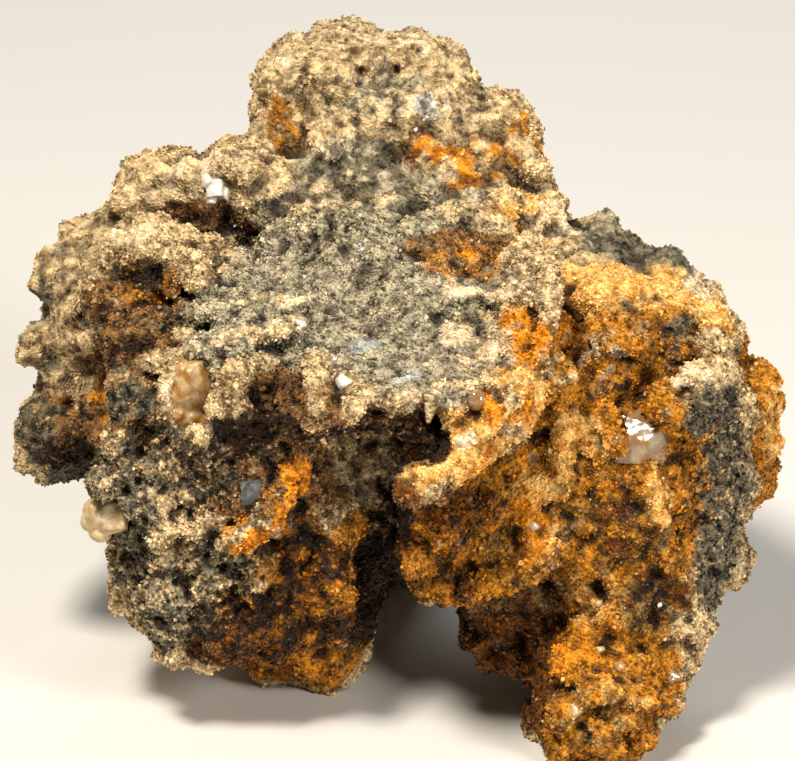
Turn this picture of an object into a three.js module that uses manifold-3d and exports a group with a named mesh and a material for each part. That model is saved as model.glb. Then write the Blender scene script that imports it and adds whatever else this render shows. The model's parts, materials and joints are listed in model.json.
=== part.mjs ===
// A fossil coral specimen: one rough, many-lobed mass of coral rock with a sugary druzy skin, and the few
// calcite crystals on it that are large enough to pick out one by one.
//
// Millimetres, +Z up. The specimen stands on three worn spots in the plane z = 0: its left foot, its right
// foot and the heel at its back. -Y is the front, +X is the right-hand side seen from the front, and the
// origin lies on the standing plane, under the middle of the specimen.

import * as THREE from 'three';
import { ImprovedNoise } from 'three/addons/math/ImprovedNoise.js';
import { MarchingCubes } from 'three/addons/objects/MarchingCubes.js';
import { mergeVertices } from 'three/addons/utils/BufferGeometryUtils.js';
import Module from 'manifold-3d';

const wasm = await Module();
wasm.setup();

const CELL = 4.55; // size of a facet of the rock
const GRID = 36; // cells along each side of the block of space that holds the rock
const MIDDLE = new THREE.Vector3(0, 0, 52); // centre of that block
const BLEND = 3; // width of the fillet where two lobes grow together
const NEAREST = 0.35; // keeps the skin this far from a grid point, so that no facet is a sliver
const EASING_ROUNDS = 2; // how often the facets' corners are spread evenly over the skin

const BOULDER_PERIOD = 17; // spacing of the rock's big knobs
const BOULDER_RELIEF = 4;
const KNOB_PERIOD = 8.5; // spacing of the small knobs on them
const KNOB_RELIEF = 2.2;

const STANDING_SLAB = [200, 200, 20]; // block that trims the feet to the standing plane
const ROPE_RADIUS = 1.1; // of the ropes of rock on the plateau
const PIT_RADIUS = 2.3;

const CLEAVAGE_LEAN = 14; // degrees that a calcite block leans off square
const CRYSTAL_SUNK = 0.15; // share of a crystal's height that its middle lies below the skin
const CRYSTAL_GAP = 0.3; // clearance of a separate crystal in its pocket
const DRUSY_COUNT = 38; // small crystals that have grown into the skin
const DRUSY_SIZE = 3.2;

const rockStone = new THREE.MeshStandardMaterial({
  color: 0x9a8560,
  roughness: 0.85,
  metalness: 0,
  flatShading: true,
});

const noise = new ImprovedNoise();

// Rounded knobs with creases between them: 0 in a crease, towards 1 on a knob.
function knobs(point, period) {
  return Math.abs(noise.noise(point.x / period, point.y / period, point.z / period)) * 2;
}

// How far the knobs lift the skin at a point, above or below its average.
function swelling(point) {
  const average = 0.4;
  const boulders = BOULDER_RELIEF * (knobs(point, BOULDER_PERIOD) - average);
  return boulders + KNOB_RELIEF * (knobs(point, KNOB_PERIOD) - average);
}

// One lobe of rock: a sphere stretched to its radii, squared off by `blocky` (2 is an ellipsoid, 4 a
// rounded block) and turned. `relief` scales the knobs on it.
function lobe({ at, radii, blocky = 2.6, turn = [0, 0, 0], relief = 1 }) {
  const spin = new THREE.Quaternion().setFromEuler(new THREE.Euler(...turn.map(THREE.MathUtils.degToRad)));
  return { at: new THREE.Vector3(...at), radii, blocky, unspin: spin.invert(), relief };
}

// Distance from a point to a lobe's skin, below 0 inside it.
function distanceTo({ at, radii, blocky, unspin }, point) {
  const local = point.clone().sub(at).applyQuaternion(unspin).toArray();
  const share = local.map((length, axis) => Math.max(Math.abs(length) / radii[axis], 1e-3));
  const reach = share.reduce((sum, part) => sum + part ** blocky, 0) ** (1 / blocky);
  const slope = Math.hypot(...share.map((part, axis) => (part / reach) ** (blocky - 1) / radii[axis]));
  return (reach - 1) / slope;
}

const core = [
  lobe({ at: [-2, 8, 50], radii: [42, 31, 24] }),
  lobe({ at: [2, 12, 68], radii: [26, 18, 10], blocky: 3 }),
  lobe({ at: [0, 14, 34], radii: [20, 16, 10] }),
];

const crown = [
  lobe({ at: [-5.5, 27, 84], radii: [18.5, 14, 18.5], blocky: 4, turn: [6, 3, 0], relief: 0.7 }),
  lobe({ at: [9, 26, 78], radii: [13.5, 14, 16.5], blocky: 3.4, relief: 0.8 }),
  lobe({ at: [18, 24, 70], radii: [8, 12, 11] }),
  lobe({ at: [-2, 15, 77], radii: [21, 11, 10], blocky: 3 }),
];

const backLeftRidge = [
  lobe({ at: [-38, 12, 79.5], radii: [8.5, 11, 8.5], turn: [0, -20, 0] }),
  lobe({ at: [-27, 11, 82], radii: [10, 9, 7] }),
  lobe({ at: [-30, 12, 67], radii: [20, 16, 13] }),
];

const backLeftLobe = [
  lobe({ at: [-50.5, 5, 67], radii: [9, 12, 10.5] }),
  lobe({ at: [-52, 4, 53], radii: [8, 11, 9] }),
  lobe({ at: [-56, 2, 43], radii: [7, 10, 8] }),
];

const leftKnob = [
  lobe({ at: [-38, -7, 75], radii: [10, 11, 7], blocky: 3 }),
  lobe({ at: [-39, -14, 65], radii: [9.5, 11, 9] }),
];

// Three ledges, each a little lower than the one behind it.
const plateau = [
  lobe({ at: [-6, 6, 77.5], radii: [24, 9, 6], blocky: 5, turn: [14, 0, 0], relief: 0.7 }),
  lobe({ at: [-9, -9, 71.5], radii: [24, 10, 6], blocky: 5, turn: [14, 0, 0], relief: 0.6 }),
  lobe({ at: [-9, -28, 64], radii: [26, 13, 5.5], blocky: 5, turn: [14, 0, 0], relief: 0.5 }),
  lobe({ at: [-31, -27, 65], radii: [5.5, 8, 8], relief: 0.6 }),
];

const lip = [
  lobe({ at: [22, -12, 73], radii: [5, 12, 8], blocky: 3, relief: 0.6 }),
  lobe({ at: [20.5, -24, 68], radii: [4.5, 8, 10], relief: 0.6 }),
];

const leftFoot = [
  lobe({ at: [-26, -18, 38], radii: [20, 17, 26], blocky: 3.2 }),
  lobe({ at: [-17, -7, 12], radii: [13, 11, 14], turn: [0, -15, 0] }),
  lobe({ at: [-35, -10, 19], radii: [9, 10, 12] }),
  lobe({ at: [-41, -26, 52], radii: [6, 7, 13] }),
  lobe({ at: [-45, -23, 39], radii: [5, 7, 6] }),
  lobe({ at: [-7, -16, 28], radii: [8.5, 11, 17], turn: [0, 12, 0] }),
];

const middleLobe = [
  lobe({ at: [12, -22, 41], radii: [15, 14, 13] }),
  lobe({ at: [14, -26, 33], radii: [10, 9, 8] }),
];

const rightMass = [
  lobe({ at: [37, -8, 62], radii: [17, 20, 13], blocky: 3, turn: [0, 14, 0] }),
  lobe({ at: [40, -12, 44], radii: [17, 18, 22], blocky: 3 }),
  lobe({ at: [39, -17, 25], radii: [13, 15, 17], blocky: 3 }),
  lobe({ at: [50, -14, 29], radii: [7, 9, 12] }),
  lobe({ at: [22, -13, 21], radii: [13, 12, 14] }),
  lobe({ at: [46, -25, 60], radii: [10, 8, 5] }),
  lobe({ at: [34, -27, 10], radii: [12.5, 12, 14], turn: [0, 10, 0] }),
];

const rightShoulder = [
  lobe({ at: [36, 10, 63], radii: [16, 14, 8], blocky: 3, turn: [0, 18, 0], relief: 0.7 }),
  lobe({ at: [56, 4, 41], radii: [8, 10, 12] }),
];

const back = [
  lobe({ at: [-6, 31, 18], radii: [14, 12, 19] }),
  lobe({ at: [-24, 29, 46], radii: [20, 15, 20], blocky: 3 }),
  lobe({ at: [24, 29, 47], radii: [20, 15, 20], blocky: 3 }),
  lobe({ at: [0, 35, 60], radii: [20, 11, 18] }),
];

const lobes = [
  ...core,
  ...crown,
  ...backLeftRidge,
  ...backLeftLobe,
  ...leftKnob,
  ...plateau,
  ...lip,
  ...leftFoot,
  ...middleLobe,
  ...rightMass,
  ...rightShoulder,
  ...back,
];

// Places where the rock is eaten away, each a lobe taken out of it.
const hollows = [
  lobe({ at: [-7, -40, 53.5], radii: [17, 9, 6], blocky: 2.4 }), // under the plateau's front edge
  lobe({ at: [-4, -32, 34], radii: [3.5, 9, 17] }), // between the left foot and the middle lobe
  lobe({ at: [2, -8, 16], radii: [5.5, 30, 19], turn: [0, 12, 0] }), // the arch between the feet
  lobe({ at: [-30, -2, 82], radii: [9, 4.5, 4.5] }), // behind the left knob
  lobe({ at: [-34, -20, 74], radii: [3, 8, 5], turn: [0, 20, 0] }), // between the left knob and the plateau
  lobe({ at: [-49, -8, 64], radii: [2.5, 7, 12] }), // between the left knob and the back-left lobe
  lobe({ at: [28, -24, 76], radii: [3.5, 16, 7] }), // the valley to the right of the lip
  lobe({ at: [42, -27, 68.5], radii: [9, 6, 2.5], turn: [0, -38, 0] }), // the crevice over the right ledge
];

// Dark pits eaten into the rock, wider than its pores.
const pits = [
  [38, -28, 69],
  [35, -26, 64],
  [49, -20, 66],
  [46, -26, 56],
  [42, -30, 28],
  [38, -32, 22],
];

// The finger grows down and forward from the lip to its rounded tip under the plateau's edge.
const fingerPath = [
  [22, -30, 68],
  [17, -37, 64],
  [10, -41, 60],
  [4.5, -44, 56.5],
];
const fingerLumps = { count: 6, thin: [5, 4.6, 4.4], thick: [5.4, 5, 4.9] };

// Ropes of rock that stand a little above the plateau, from left to right.
const ropes = [
  [[-26, -30, 71], [-18, -26, 73], [-8, -25, 73], [2, -27, 73]],
  [[-22, -37, 68], [-12, -35, 70], [0, -36, 69], [10, -38, 68]],
  [[-24, -12, 78], [-14, -14, 78], [-2, -13, 78], [8, -15, 77]],
];

// Crystals large enough to be pieces of their own, each in a pocket of the rock.
const crystals = [
  { name: 'calcite_right', at: [41, -30, 56], size: [8, 7, 7], turn: [20, -15, 30], color: 0xd8b88a },
  { name: 'calcite_brow', at: [-33, -36, 66], size: [6, 6, 10], turn: [10, 10, 20], color: 0xc9a66b },
  { name: 'calcite_fingertip', at: [3, -47, 57], size: [5.5, 5, 5], turn: [35, 10, 40], onFinger: true, color: 0xd9a85c },
  { name: 'calcite_ridge', at: [-30, 0, 87], size: [4.5, 4.5, 4], turn: [15, 30, 10], color: 0xe6e2d8 },
  { name: 'calcite_left', at: [-50, -28, 40], size: [5, 5, 5], turn: [40, 20, 0], color: 0xa9a191 },
];

function vectorOf(coordinates) {
  return new THREE.Vector3(...coordinates);
}

function smoothMin(a, b, width) {
  const overlap = Math.max(width - Math.abs(a - b), 0) / width;
  return Math.min(a, b) - (overlap * overlap * width) / 4;
}

// Distance from a point to the skin of the whole rock, below 0 inside it.
function rockDistance(point) {
  const lift = swelling(point);
  const body = lobes
    .map((shape) => distanceTo(shape, point) - shape.relief * lift)
    .reduce((nearest, distance) => smoothMin(nearest, distance, BLEND));
  return hollows.reduce((left, shape) => -smoothMin(-left, distanceTo(shape, point), BLEND), body);
}

// How fast that distance grows along each axis. It points straight out of the rock.
function skinSlope(point) {
  const probe = 0.2;
  const here = rockDistance(point);
  return new THREE.Vector3(
    rockDistance(point.clone().setX(point.x + probe)) - here,
    rockDistance(point.clone().setY(point.y + probe)) - here,
    rockDistance(point.clone().setZ(point.z + probe)) - here,
  ).divideScalar(probe);
}

// Moves a point straight towards the skin of the rock, by no more than half a cell.
function towardsSkin(point) {
  const slope = skinSlope(point);
  const step = THREE.MathUtils.clamp(rockDistance(point) / slope.length(), -CELL / 2, CELL / 2);
  return point.clone().addScaledVector(slope.normalize(), -step);
}

// The place `depth` under the skin, straight below the skin's nearest point.
function settled(coordinates, depth = 0) {
  const rounds = 6;
  let point = vectorOf(coordinates);
  for (let round = 0; round < rounds; round++) point = towardsSkin(point);
  return point.addScaledVector(skinSlope(point).normalize(), -depth);
}

function solidOf(geometry) {
  const bare = new THREE.BufferGeometry();
  bare.setAttribute('position', geometry.getAttribute('position'));
  if (geometry.index) bare.setIndex(geometry.index);
  const merged = mergeVertices(bare, 1e-3);
  return new wasm.Manifold(
    new wasm.Mesh({
      numProp: 3,
      vertProperties: merged.attributes.position.array,
      triVerts: new Uint32Array(merged.index.array),
    }),
  );
}

function geometryOf(solid) {
  const mesh = solid.getMesh();
  const geometry = new THREE.BufferGeometry();
  geometry.setAttribute('position', new THREE.BufferAttribute(mesh.vertProperties, 3));
  geometry.setIndex(new THREE.BufferAttribute(mesh.triVerts, 1));
  const flat = geometry.toNonIndexed();
  flat.computeVertexNormals();
  return flat;
}

// Each corner moves halfway to the middle of its neighbours and back towards the skin, so that the facets
// lose the grid they were made on.
function easeFacets(geometry) {
  const skin = mergeVertices(geometry, 1e-3);
  const position = skin.getAttribute('position');
  const index = skin.index.array;
  const neighbours = Array.from({ length: position.count }, () => new Set());
  for (let i = 0; i < index.length; i++) {
    const next = i % 3 === 2 ? i - 2 : i + 1;
    neighbours[index[i]].add(index[next]);
    neighbours[index[next]].add(index[i]);
  }
  let corners = neighbours.map((_, i) => new THREE.Vector3().fromBufferAttribute(position, i));
  for (let round = 0; round < EASING_ROUNDS; round++) {
    corners = corners.map((corner, i) => {
      const middle = new THREE.Vector3();
      neighbours[i].forEach((other) => middle.add(corners[other]));
      return towardsSkin(middle.divideScalar(neighbours[i].size).lerp(corner, 0.5));
    });
  }
  corners.forEach((corner, i) => position.setXYZ(i, corner.x, corner.y, corner.z));
  return skin;
}

// The skin of the rock, where its distance is 0, in facets of about one cell.
function rockSkin() {
  const cubes = new MarchingCubes(GRID, rockStone, false, false, 12 * GRID * GRID);
  cubes.isolation = 0;
  const point = new THREE.Vector3();
  for (let k = 0; k < GRID; k++) {
    for (let j = 0; j < GRID; j++) {
      for (let i = 0; i < GRID; i++) {
        point.set(i, j, k).subScalar(GRID / 2).multiplyScalar(CELL).add(MIDDLE);
        const distance = rockDistance(point);
        const kept = Math.max(Math.abs(distance), NEAREST);
        cubes.setCell(i, j, k, distance < 0 ? kept : -kept);
      }
    }
  }
  cubes.update();
  const skin = new THREE.BufferGeometry();
  skin.setAttribute('position', new THREE.BufferAttribute(cubes.positionArray.slice(0, 3 * cubes.count), 3));
  const half = (GRID * CELL) / 2;
  skin.scale(half, half, half);
  skin.translate(...MIDDLE);
  return easeFacets(skin);
}

// A ball stretched to its radii, for swellings and pits finer than the skin's facets.
function ball(at, [rx, ry, rz]) {
  const geometry = new THREE.IcosahedronGeometry(1, 1);
  geometry.scale(rx, ry, rz);
  geometry.translate(...at);
  return solidOf(geometry);
}

function finger() {
  const { count, thin, thick } = fingerLumps;
  const path = new THREE.CatmullRomCurve3(fingerPath.map(vectorOf));
  return path.getPoints(count - 1).map((at, i) => ball(at, i % 2 ? thin : thick));
}

function rope(points) {
  const section = new THREE.Shape();
  section.absellipse(0, 0, ROPE_RADIUS, ROPE_RADIUS, 0, 2 * Math.PI);
  const extrudePath = new THREE.CatmullRomCurve3(points.map((point) => settled(point)));
  return solidOf(new THREE.ExtrudeGeometry(section, { curveSegments: 3, steps: 4, extrudePath }));
}

// A cleavage block of calcite: six flat faces, none square to the next. It stands in the skin of the rock
// nearest to `at`, or, on the finger, which is finer than that skin, at `at` itself.
function calciteBlock({ at, size, turn, onFinger = false }, grow = 0) {
  const block = new THREE.BoxGeometry(...size.map((side) => side + 2 * grow));
  const lean = Math.tan(THREE.MathUtils.degToRad(CLEAVAGE_LEAN));
  block.applyMatrix4(new THREE.Matrix4().makeShear(0, lean, 0, lean, 0, 0));
  const spin = new THREE.Euler(...turn.map(THREE.MathUtils.degToRad));
  block.applyMatrix4(new THREE.Matrix4().makeRotationFromEuler(spin));
  block.translate(...(onFinger ? at : settled(at, size[2] * CRYSTAL_SUNK)));
  return solidOf(block);
}

// Small calcite crystals grown into the skin all round, one for each turn of a golden-angle spiral.
function drusyCrystals() {
  const goldenAngle = Math.PI * (3 - Math.sqrt(5));
  const spread = (i, stride) => (i * stride) % 1;
  const outside = 75;
  const stride = 0.5;
  return Array.from({ length: DRUSY_COUNT }, (_, i) => {
    const height = 1 - (2 * i + 1) / DRUSY_COUNT;
    const girth = Math.sqrt(1 - height * height);
    const way = vectorOf([girth * Math.cos(goldenAngle * i), girth * Math.sin(goldenAngle * i), height]);
    const at = MIDDLE.clone().addScaledVector(way, outside);
    while (rockDistance(at) > stride) at.addScaledVector(way, -stride);
    const side = DRUSY_SIZE * (0.75 + 0.5 * spread(i, 0.618));
    const turn = [0.618, 0.414, 0.303].map((part) => 180 * spread(i, part));
    return calciteBlock({ at: at.toArray(), size: [1.2 * side, side, side], turn });
  });
}

// The three feet are trimmed to one plane, so that each has a small flat spot to stand on.
function belowStanding() {
  const slab = new THREE.BoxGeometry(...STANDING_SLAB);
  slab.translate(0, 0, -STANDING_SLAB[2] / 2);
  return solidOf(slab);
}

function rockSolid() {
  const grown = [solidOf(rockSkin()), ...finger(), ...ropes.map(rope), ...drusyCrystals()];
  const eaten = [
    ...pits.map((at) => ball(settled(at), [PIT_RADIUS, PIT_RADIUS, PIT_RADIUS])),
    ...crystals.map((crystal) => calciteBlock(crystal, CRYSTAL_GAP)),
    belowStanding(),
  ];
  const rock = grown.reduce((sum, piece) => sum.add(piece));
  const bodies = eaten.reduce((left, piece) => left.subtract(piece), rock).decompose();
  // Cutting can leave a loose crumb, so only the specimen itself is kept.
  return bodies.reduce((largest, body) => (body.volume() > largest.volume() ? body : largest));
}

function crystalMesh(crystal) {
  const calcite = new THREE.MeshStandardMaterial({
    color: crystal.color,
    roughness: 0.15,
    metalness: 0,
    flatShading: true,
  });
  const mesh = new THREE.Mesh(geometryOf(calciteBlock(crystal)), calcite);
  mesh.name = crystal.name;
  return mesh;
}

const specimen = new THREE.Group();

const rock = new THREE.Mesh(geometryOf(rockSolid()), rockStone);
rock.name = 'coral_rock';
specimen.add(rock, ...crystals.map(crystalMesh));

export default specimen;
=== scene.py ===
# %% [markdown]
# # A fossil coral specimen with a crust of druzy calcite
# The real object is one lump of old reef coral. Groundwater dissolved part of it, stained it with iron
# and manganese, and grew a crust of tiny calcite crystals over it. This lesson starts from the packed
# solid, which has the lump's true size and main forms, and dresses it: a finer rock skin, the sugary
# crust, and the few larger crystals. Everything is made in the solid's own frame, so nothing has to be
# fitted afterwards.

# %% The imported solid
import json
import random

import bpy
import numpy as np
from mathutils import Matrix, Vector

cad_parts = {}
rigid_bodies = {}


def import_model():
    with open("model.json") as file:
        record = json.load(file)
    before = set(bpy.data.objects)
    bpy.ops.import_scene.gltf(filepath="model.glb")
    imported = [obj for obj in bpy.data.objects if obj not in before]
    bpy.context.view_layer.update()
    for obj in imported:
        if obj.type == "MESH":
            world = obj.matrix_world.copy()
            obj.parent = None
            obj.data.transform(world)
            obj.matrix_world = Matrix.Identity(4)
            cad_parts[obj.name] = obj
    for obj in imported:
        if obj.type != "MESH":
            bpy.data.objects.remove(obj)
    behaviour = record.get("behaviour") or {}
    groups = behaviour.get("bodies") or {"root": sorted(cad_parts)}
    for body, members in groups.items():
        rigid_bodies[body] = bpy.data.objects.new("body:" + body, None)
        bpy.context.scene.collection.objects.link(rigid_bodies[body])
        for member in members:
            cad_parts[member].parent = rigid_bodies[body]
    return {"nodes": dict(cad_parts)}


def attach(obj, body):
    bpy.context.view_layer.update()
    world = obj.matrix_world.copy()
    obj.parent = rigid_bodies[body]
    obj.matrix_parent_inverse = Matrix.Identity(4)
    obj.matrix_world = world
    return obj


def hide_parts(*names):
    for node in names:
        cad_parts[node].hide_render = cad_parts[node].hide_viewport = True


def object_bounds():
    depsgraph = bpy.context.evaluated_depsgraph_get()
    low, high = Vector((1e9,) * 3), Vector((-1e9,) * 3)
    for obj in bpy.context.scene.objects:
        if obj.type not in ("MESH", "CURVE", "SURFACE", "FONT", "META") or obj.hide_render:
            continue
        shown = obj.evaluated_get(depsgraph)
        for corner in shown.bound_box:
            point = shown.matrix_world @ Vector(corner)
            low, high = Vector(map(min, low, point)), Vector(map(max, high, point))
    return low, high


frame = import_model()
cad_low, cad_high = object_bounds()
MM = 0.001
print("solid box in mm:", [round(v / MM, 1) for v in (*cad_low, *cad_high)])

# %% [markdown]
# ## The camera, the light and the floor
# A specimen is photographed with a long lens from a little above, so that its outline stays true. A soft
# lamp high on the left models the lumps, a second one at the right opens their shadows, a weak one behind
# parts the outline from the ground, and a pale floor does the rest.

# %% Camera
LOOK_AT = Vector((0, 0, 52 * MM))
VIEW_FROM = Vector((0, -634.4 * MM, 347.8 * MM))
camera_data = bpy.data.cameras.new("specimen_camera")
camera_data.sensor_width, camera_data.lens = 36, 188.4
camera_data.clip_start, camera_data.clip_end = 0.01, 20
camera = bpy.data.objects.new("specimen_camera", camera_data)
camera.location = VIEW_FROM
camera.rotation_euler = (LOOK_AT - VIEW_FROM).to_track_quat("-Z", "Y").to_euler()
bpy.context.collection.objects.link(camera)
bpy.context.scene.camera = camera
print("camera", round((LOOK_AT - VIEW_FROM).length, 3), "m away")

# %% A node helper and a colour helper
def add(tree, kind, values=None, **settings):
    """Add a node, set its settings, then give its sockets a value or link another node to them."""
    node = tree.nodes.new(kind)
    for name, value in settings.items():
        setattr(node, name, value)
    for socket, value in (values or {}).items():
        if isinstance(value, bpy.types.Node):
            value = value.outputs[0]
        if isinstance(value, bpy.types.NodeSocket):
            tree.links.new(value, node.inputs[socket])
        else:
            node.inputs[socket].default_value = value
    return node


def colour(code):
    """An sRGB hex colour as the linear values that Blender's sockets take."""
    parts = [int(code[i:i + 2], 16) / 255 for i in (1, 3, 5)]
    return (*[p / 12.92 if p <= 0.04045 else ((p + 0.055) / 1.055) ** 2.4 for p in parts], 1)


# %% Lamps and the room's light
def lamp(name, place, size, watts, tint):
    """A square soft lamp that faces the specimen."""
    data = bpy.data.lights.new(name, "AREA")
    data.size, data.energy, data.color = size, watts, colour(tint)[:3]
    made = bpy.data.objects.new(name, data)
    made.location = place
    made.rotation_euler = (LOOK_AT - Vector(place)).to_track_quat("-Z", "Y").to_euler()
    bpy.context.collection.objects.link(made)


lamp("key_lamp", (-0.24, -0.40, 0.90), 0.18, 13, "#FFF6E8")
lamp("side_lamp", (0.62, -0.58, 0.46), 0.25, 6.5, "#FFFAF2")
lamp("back_lamp", (0.10, 0.80, 0.70), 0.4, 3, "#FFFFFF")
room = bpy.data.worlds.new("studio")
bpy.context.scene.world = room
room.use_nodes = True
room_light = room.node_tree.nodes["Background"].inputs
room_light["Color"].default_value = colour("#E9EAEC")
room_light["Strength"].default_value = 0.06
bpy.context.scene.view_settings.view_transform = "Standard"

# %% Floor
bpy.ops.object.select_all(action="DESELECT")
bpy.ops.mesh.primitive_plane_add(size=6, location=(0, 0, 0))
floor = bpy.context.object
floor.name = "floor"
# matt painted board: it takes a soft shadow and mirrors nothing
floor_paint = bpy.data.materials.new("matt_studio_floor")
floor_paint.use_nodes = True
floor_surface = floor_paint.node_tree.nodes["Principled BSDF"].inputs
floor_surface["Base Color"].default_value = colour("#D9D7D2")
floor_surface["Roughness"].default_value = 0.8
floor.data.materials.append(floor_paint)

# %% [markdown]
# ## The rock skin
# The solid is faceted, with faces a few millimetres wide. A copy of it is merged, given an even net of
# small squares by voxel remeshing, and shaped further. Remeshing also joins whatever is pushed into the
# rock, the way a modeller smears a pellet of clay on a lump.

# %% A merged copy of the solid
# the width of the net's squares in millimetres, finer as the forms get smaller
COARSE_NET, MIDDLE_NET, FINE_NET = 1.0, 0.9, 0.6


def only(*chosen):
    """Select only these objects, with the first one active."""
    bpy.ops.object.select_all(action="DESELECT")
    for one in chosen:
        one.select_set(True)
    bpy.context.view_layer.objects.active = chosen[0]


def remesh(piece, cell):
    """Give the piece an even net of squares, cell millimetres wide."""
    only(piece)
    net = piece.modifiers.new("net", "REMESH")
    net.mode, net.voxel_size, net.adaptivity = "VOXEL", cell * MM, 0
    net.use_smooth_shade = True
    bpy.ops.object.modifier_apply(modifier=net.name)


def triangles(piece):
    """How many triangles the piece's faces come to."""
    return sum(len(face.vertices) - 2 for face in piece.data.polygons)


rock = bpy.data.objects.new("coral_rock_skin", frame["nodes"]["coral_rock"].data.copy())
bpy.context.collection.objects.link(rock)
rock.data.materials.clear()
only(rock)
bpy.ops.object.mode_set(mode="EDIT")
bpy.ops.mesh.select_all(action="SELECT")
bpy.ops.mesh.remove_doubles(threshold=1e-6)
bpy.ops.object.mode_set(mode="OBJECT")
remesh(rock, COARSE_NET)
print("rock net:", triangles(rock), "triangles")

# %% Points and normals as arrays
def points_of(mesh):
    """The mesh's points in millimetres."""
    flat = np.empty(len(mesh.vertices) * 3, np.float32)
    mesh.vertices.foreach_get("co", flat)
    return flat.reshape(-1, 3) / MM


def normals_of(mesh):
    """The mesh's normals at its points."""
    flat = np.empty(len(mesh.vertices) * 3, np.float32)
    mesh.vertex_normals.foreach_get("vector", flat)
    return flat.reshape(-1, 3)


def place_points(mesh, points):
    """Put the mesh's points at these places, given in millimetres."""
    mesh.vertices.foreach_set("co", (points * MM).astype(np.float32).ravel())
    mesh.update()


# %% Values averaged along the net
def smoothed(mesh, values, rounds):
    """The values averaged with their neighbours' along the mesh's edges, so many rounds."""
    ends = np.empty(len(mesh.edges) * 2, np.int32)
    mesh.edges.foreach_get("vertices", ends)
    a, b = ends.reshape(-1, 2).T
    count = np.bincount(a, minlength=len(values)) + np.bincount(b, minlength=len(values))
    flat = values.reshape(len(values), -1).astype(np.float64)
    for _ in range(rounds):
        total = np.empty_like(flat)
        for i in range(flat.shape[1]):
            total[:, i] = np.bincount(a, flat[b, i], len(flat)) + np.bincount(b, flat[a, i], len(flat))
        flat = 0.5 * flat + 0.5 * total / np.maximum(count, 1)[:, None]
    return flat.reshape(values.shape)


# %% How near a point is to a named place or line
def gap_to(points, path):
    """The way from each point to the nearest point of the path, which is one place or several in a row."""
    path = np.atleast_2d(np.array(path, float))
    if len(path) == 1:
        return points - path[0]
    best, least = None, None
    for start, end in zip(path[:-1], path[1:]):
        along = np.clip((points - start) @ (end - start) / ((end - start) @ (end - start)), 0, 1)
        way = points - start - along[:, None] * (end - start)
        far = (way ** 2).sum(1)
        if best is None:
            best, least = way, far
        else:
            near = far < least
            best[near], least[near] = way[near], far[near]
    return best


def fade(points, path, reach):
    """1 on the path, falling smoothly to 0 at the reach, which is one number or three."""
    gap = np.linalg.norm(gap_to(points, path) / np.array(reach), axis=1)
    return np.clip(1 - gap * gap, 0, 1) ** 2


# %% [markdown]
# ## Pellets
# The forms that stand clear of the lump, such as the scalloped rim of the left knob or the drapes under
# the brow, are pressed on as pellets: small balls, stretched and turned, joined to the rock and smeared
# into it by the net.

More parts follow.
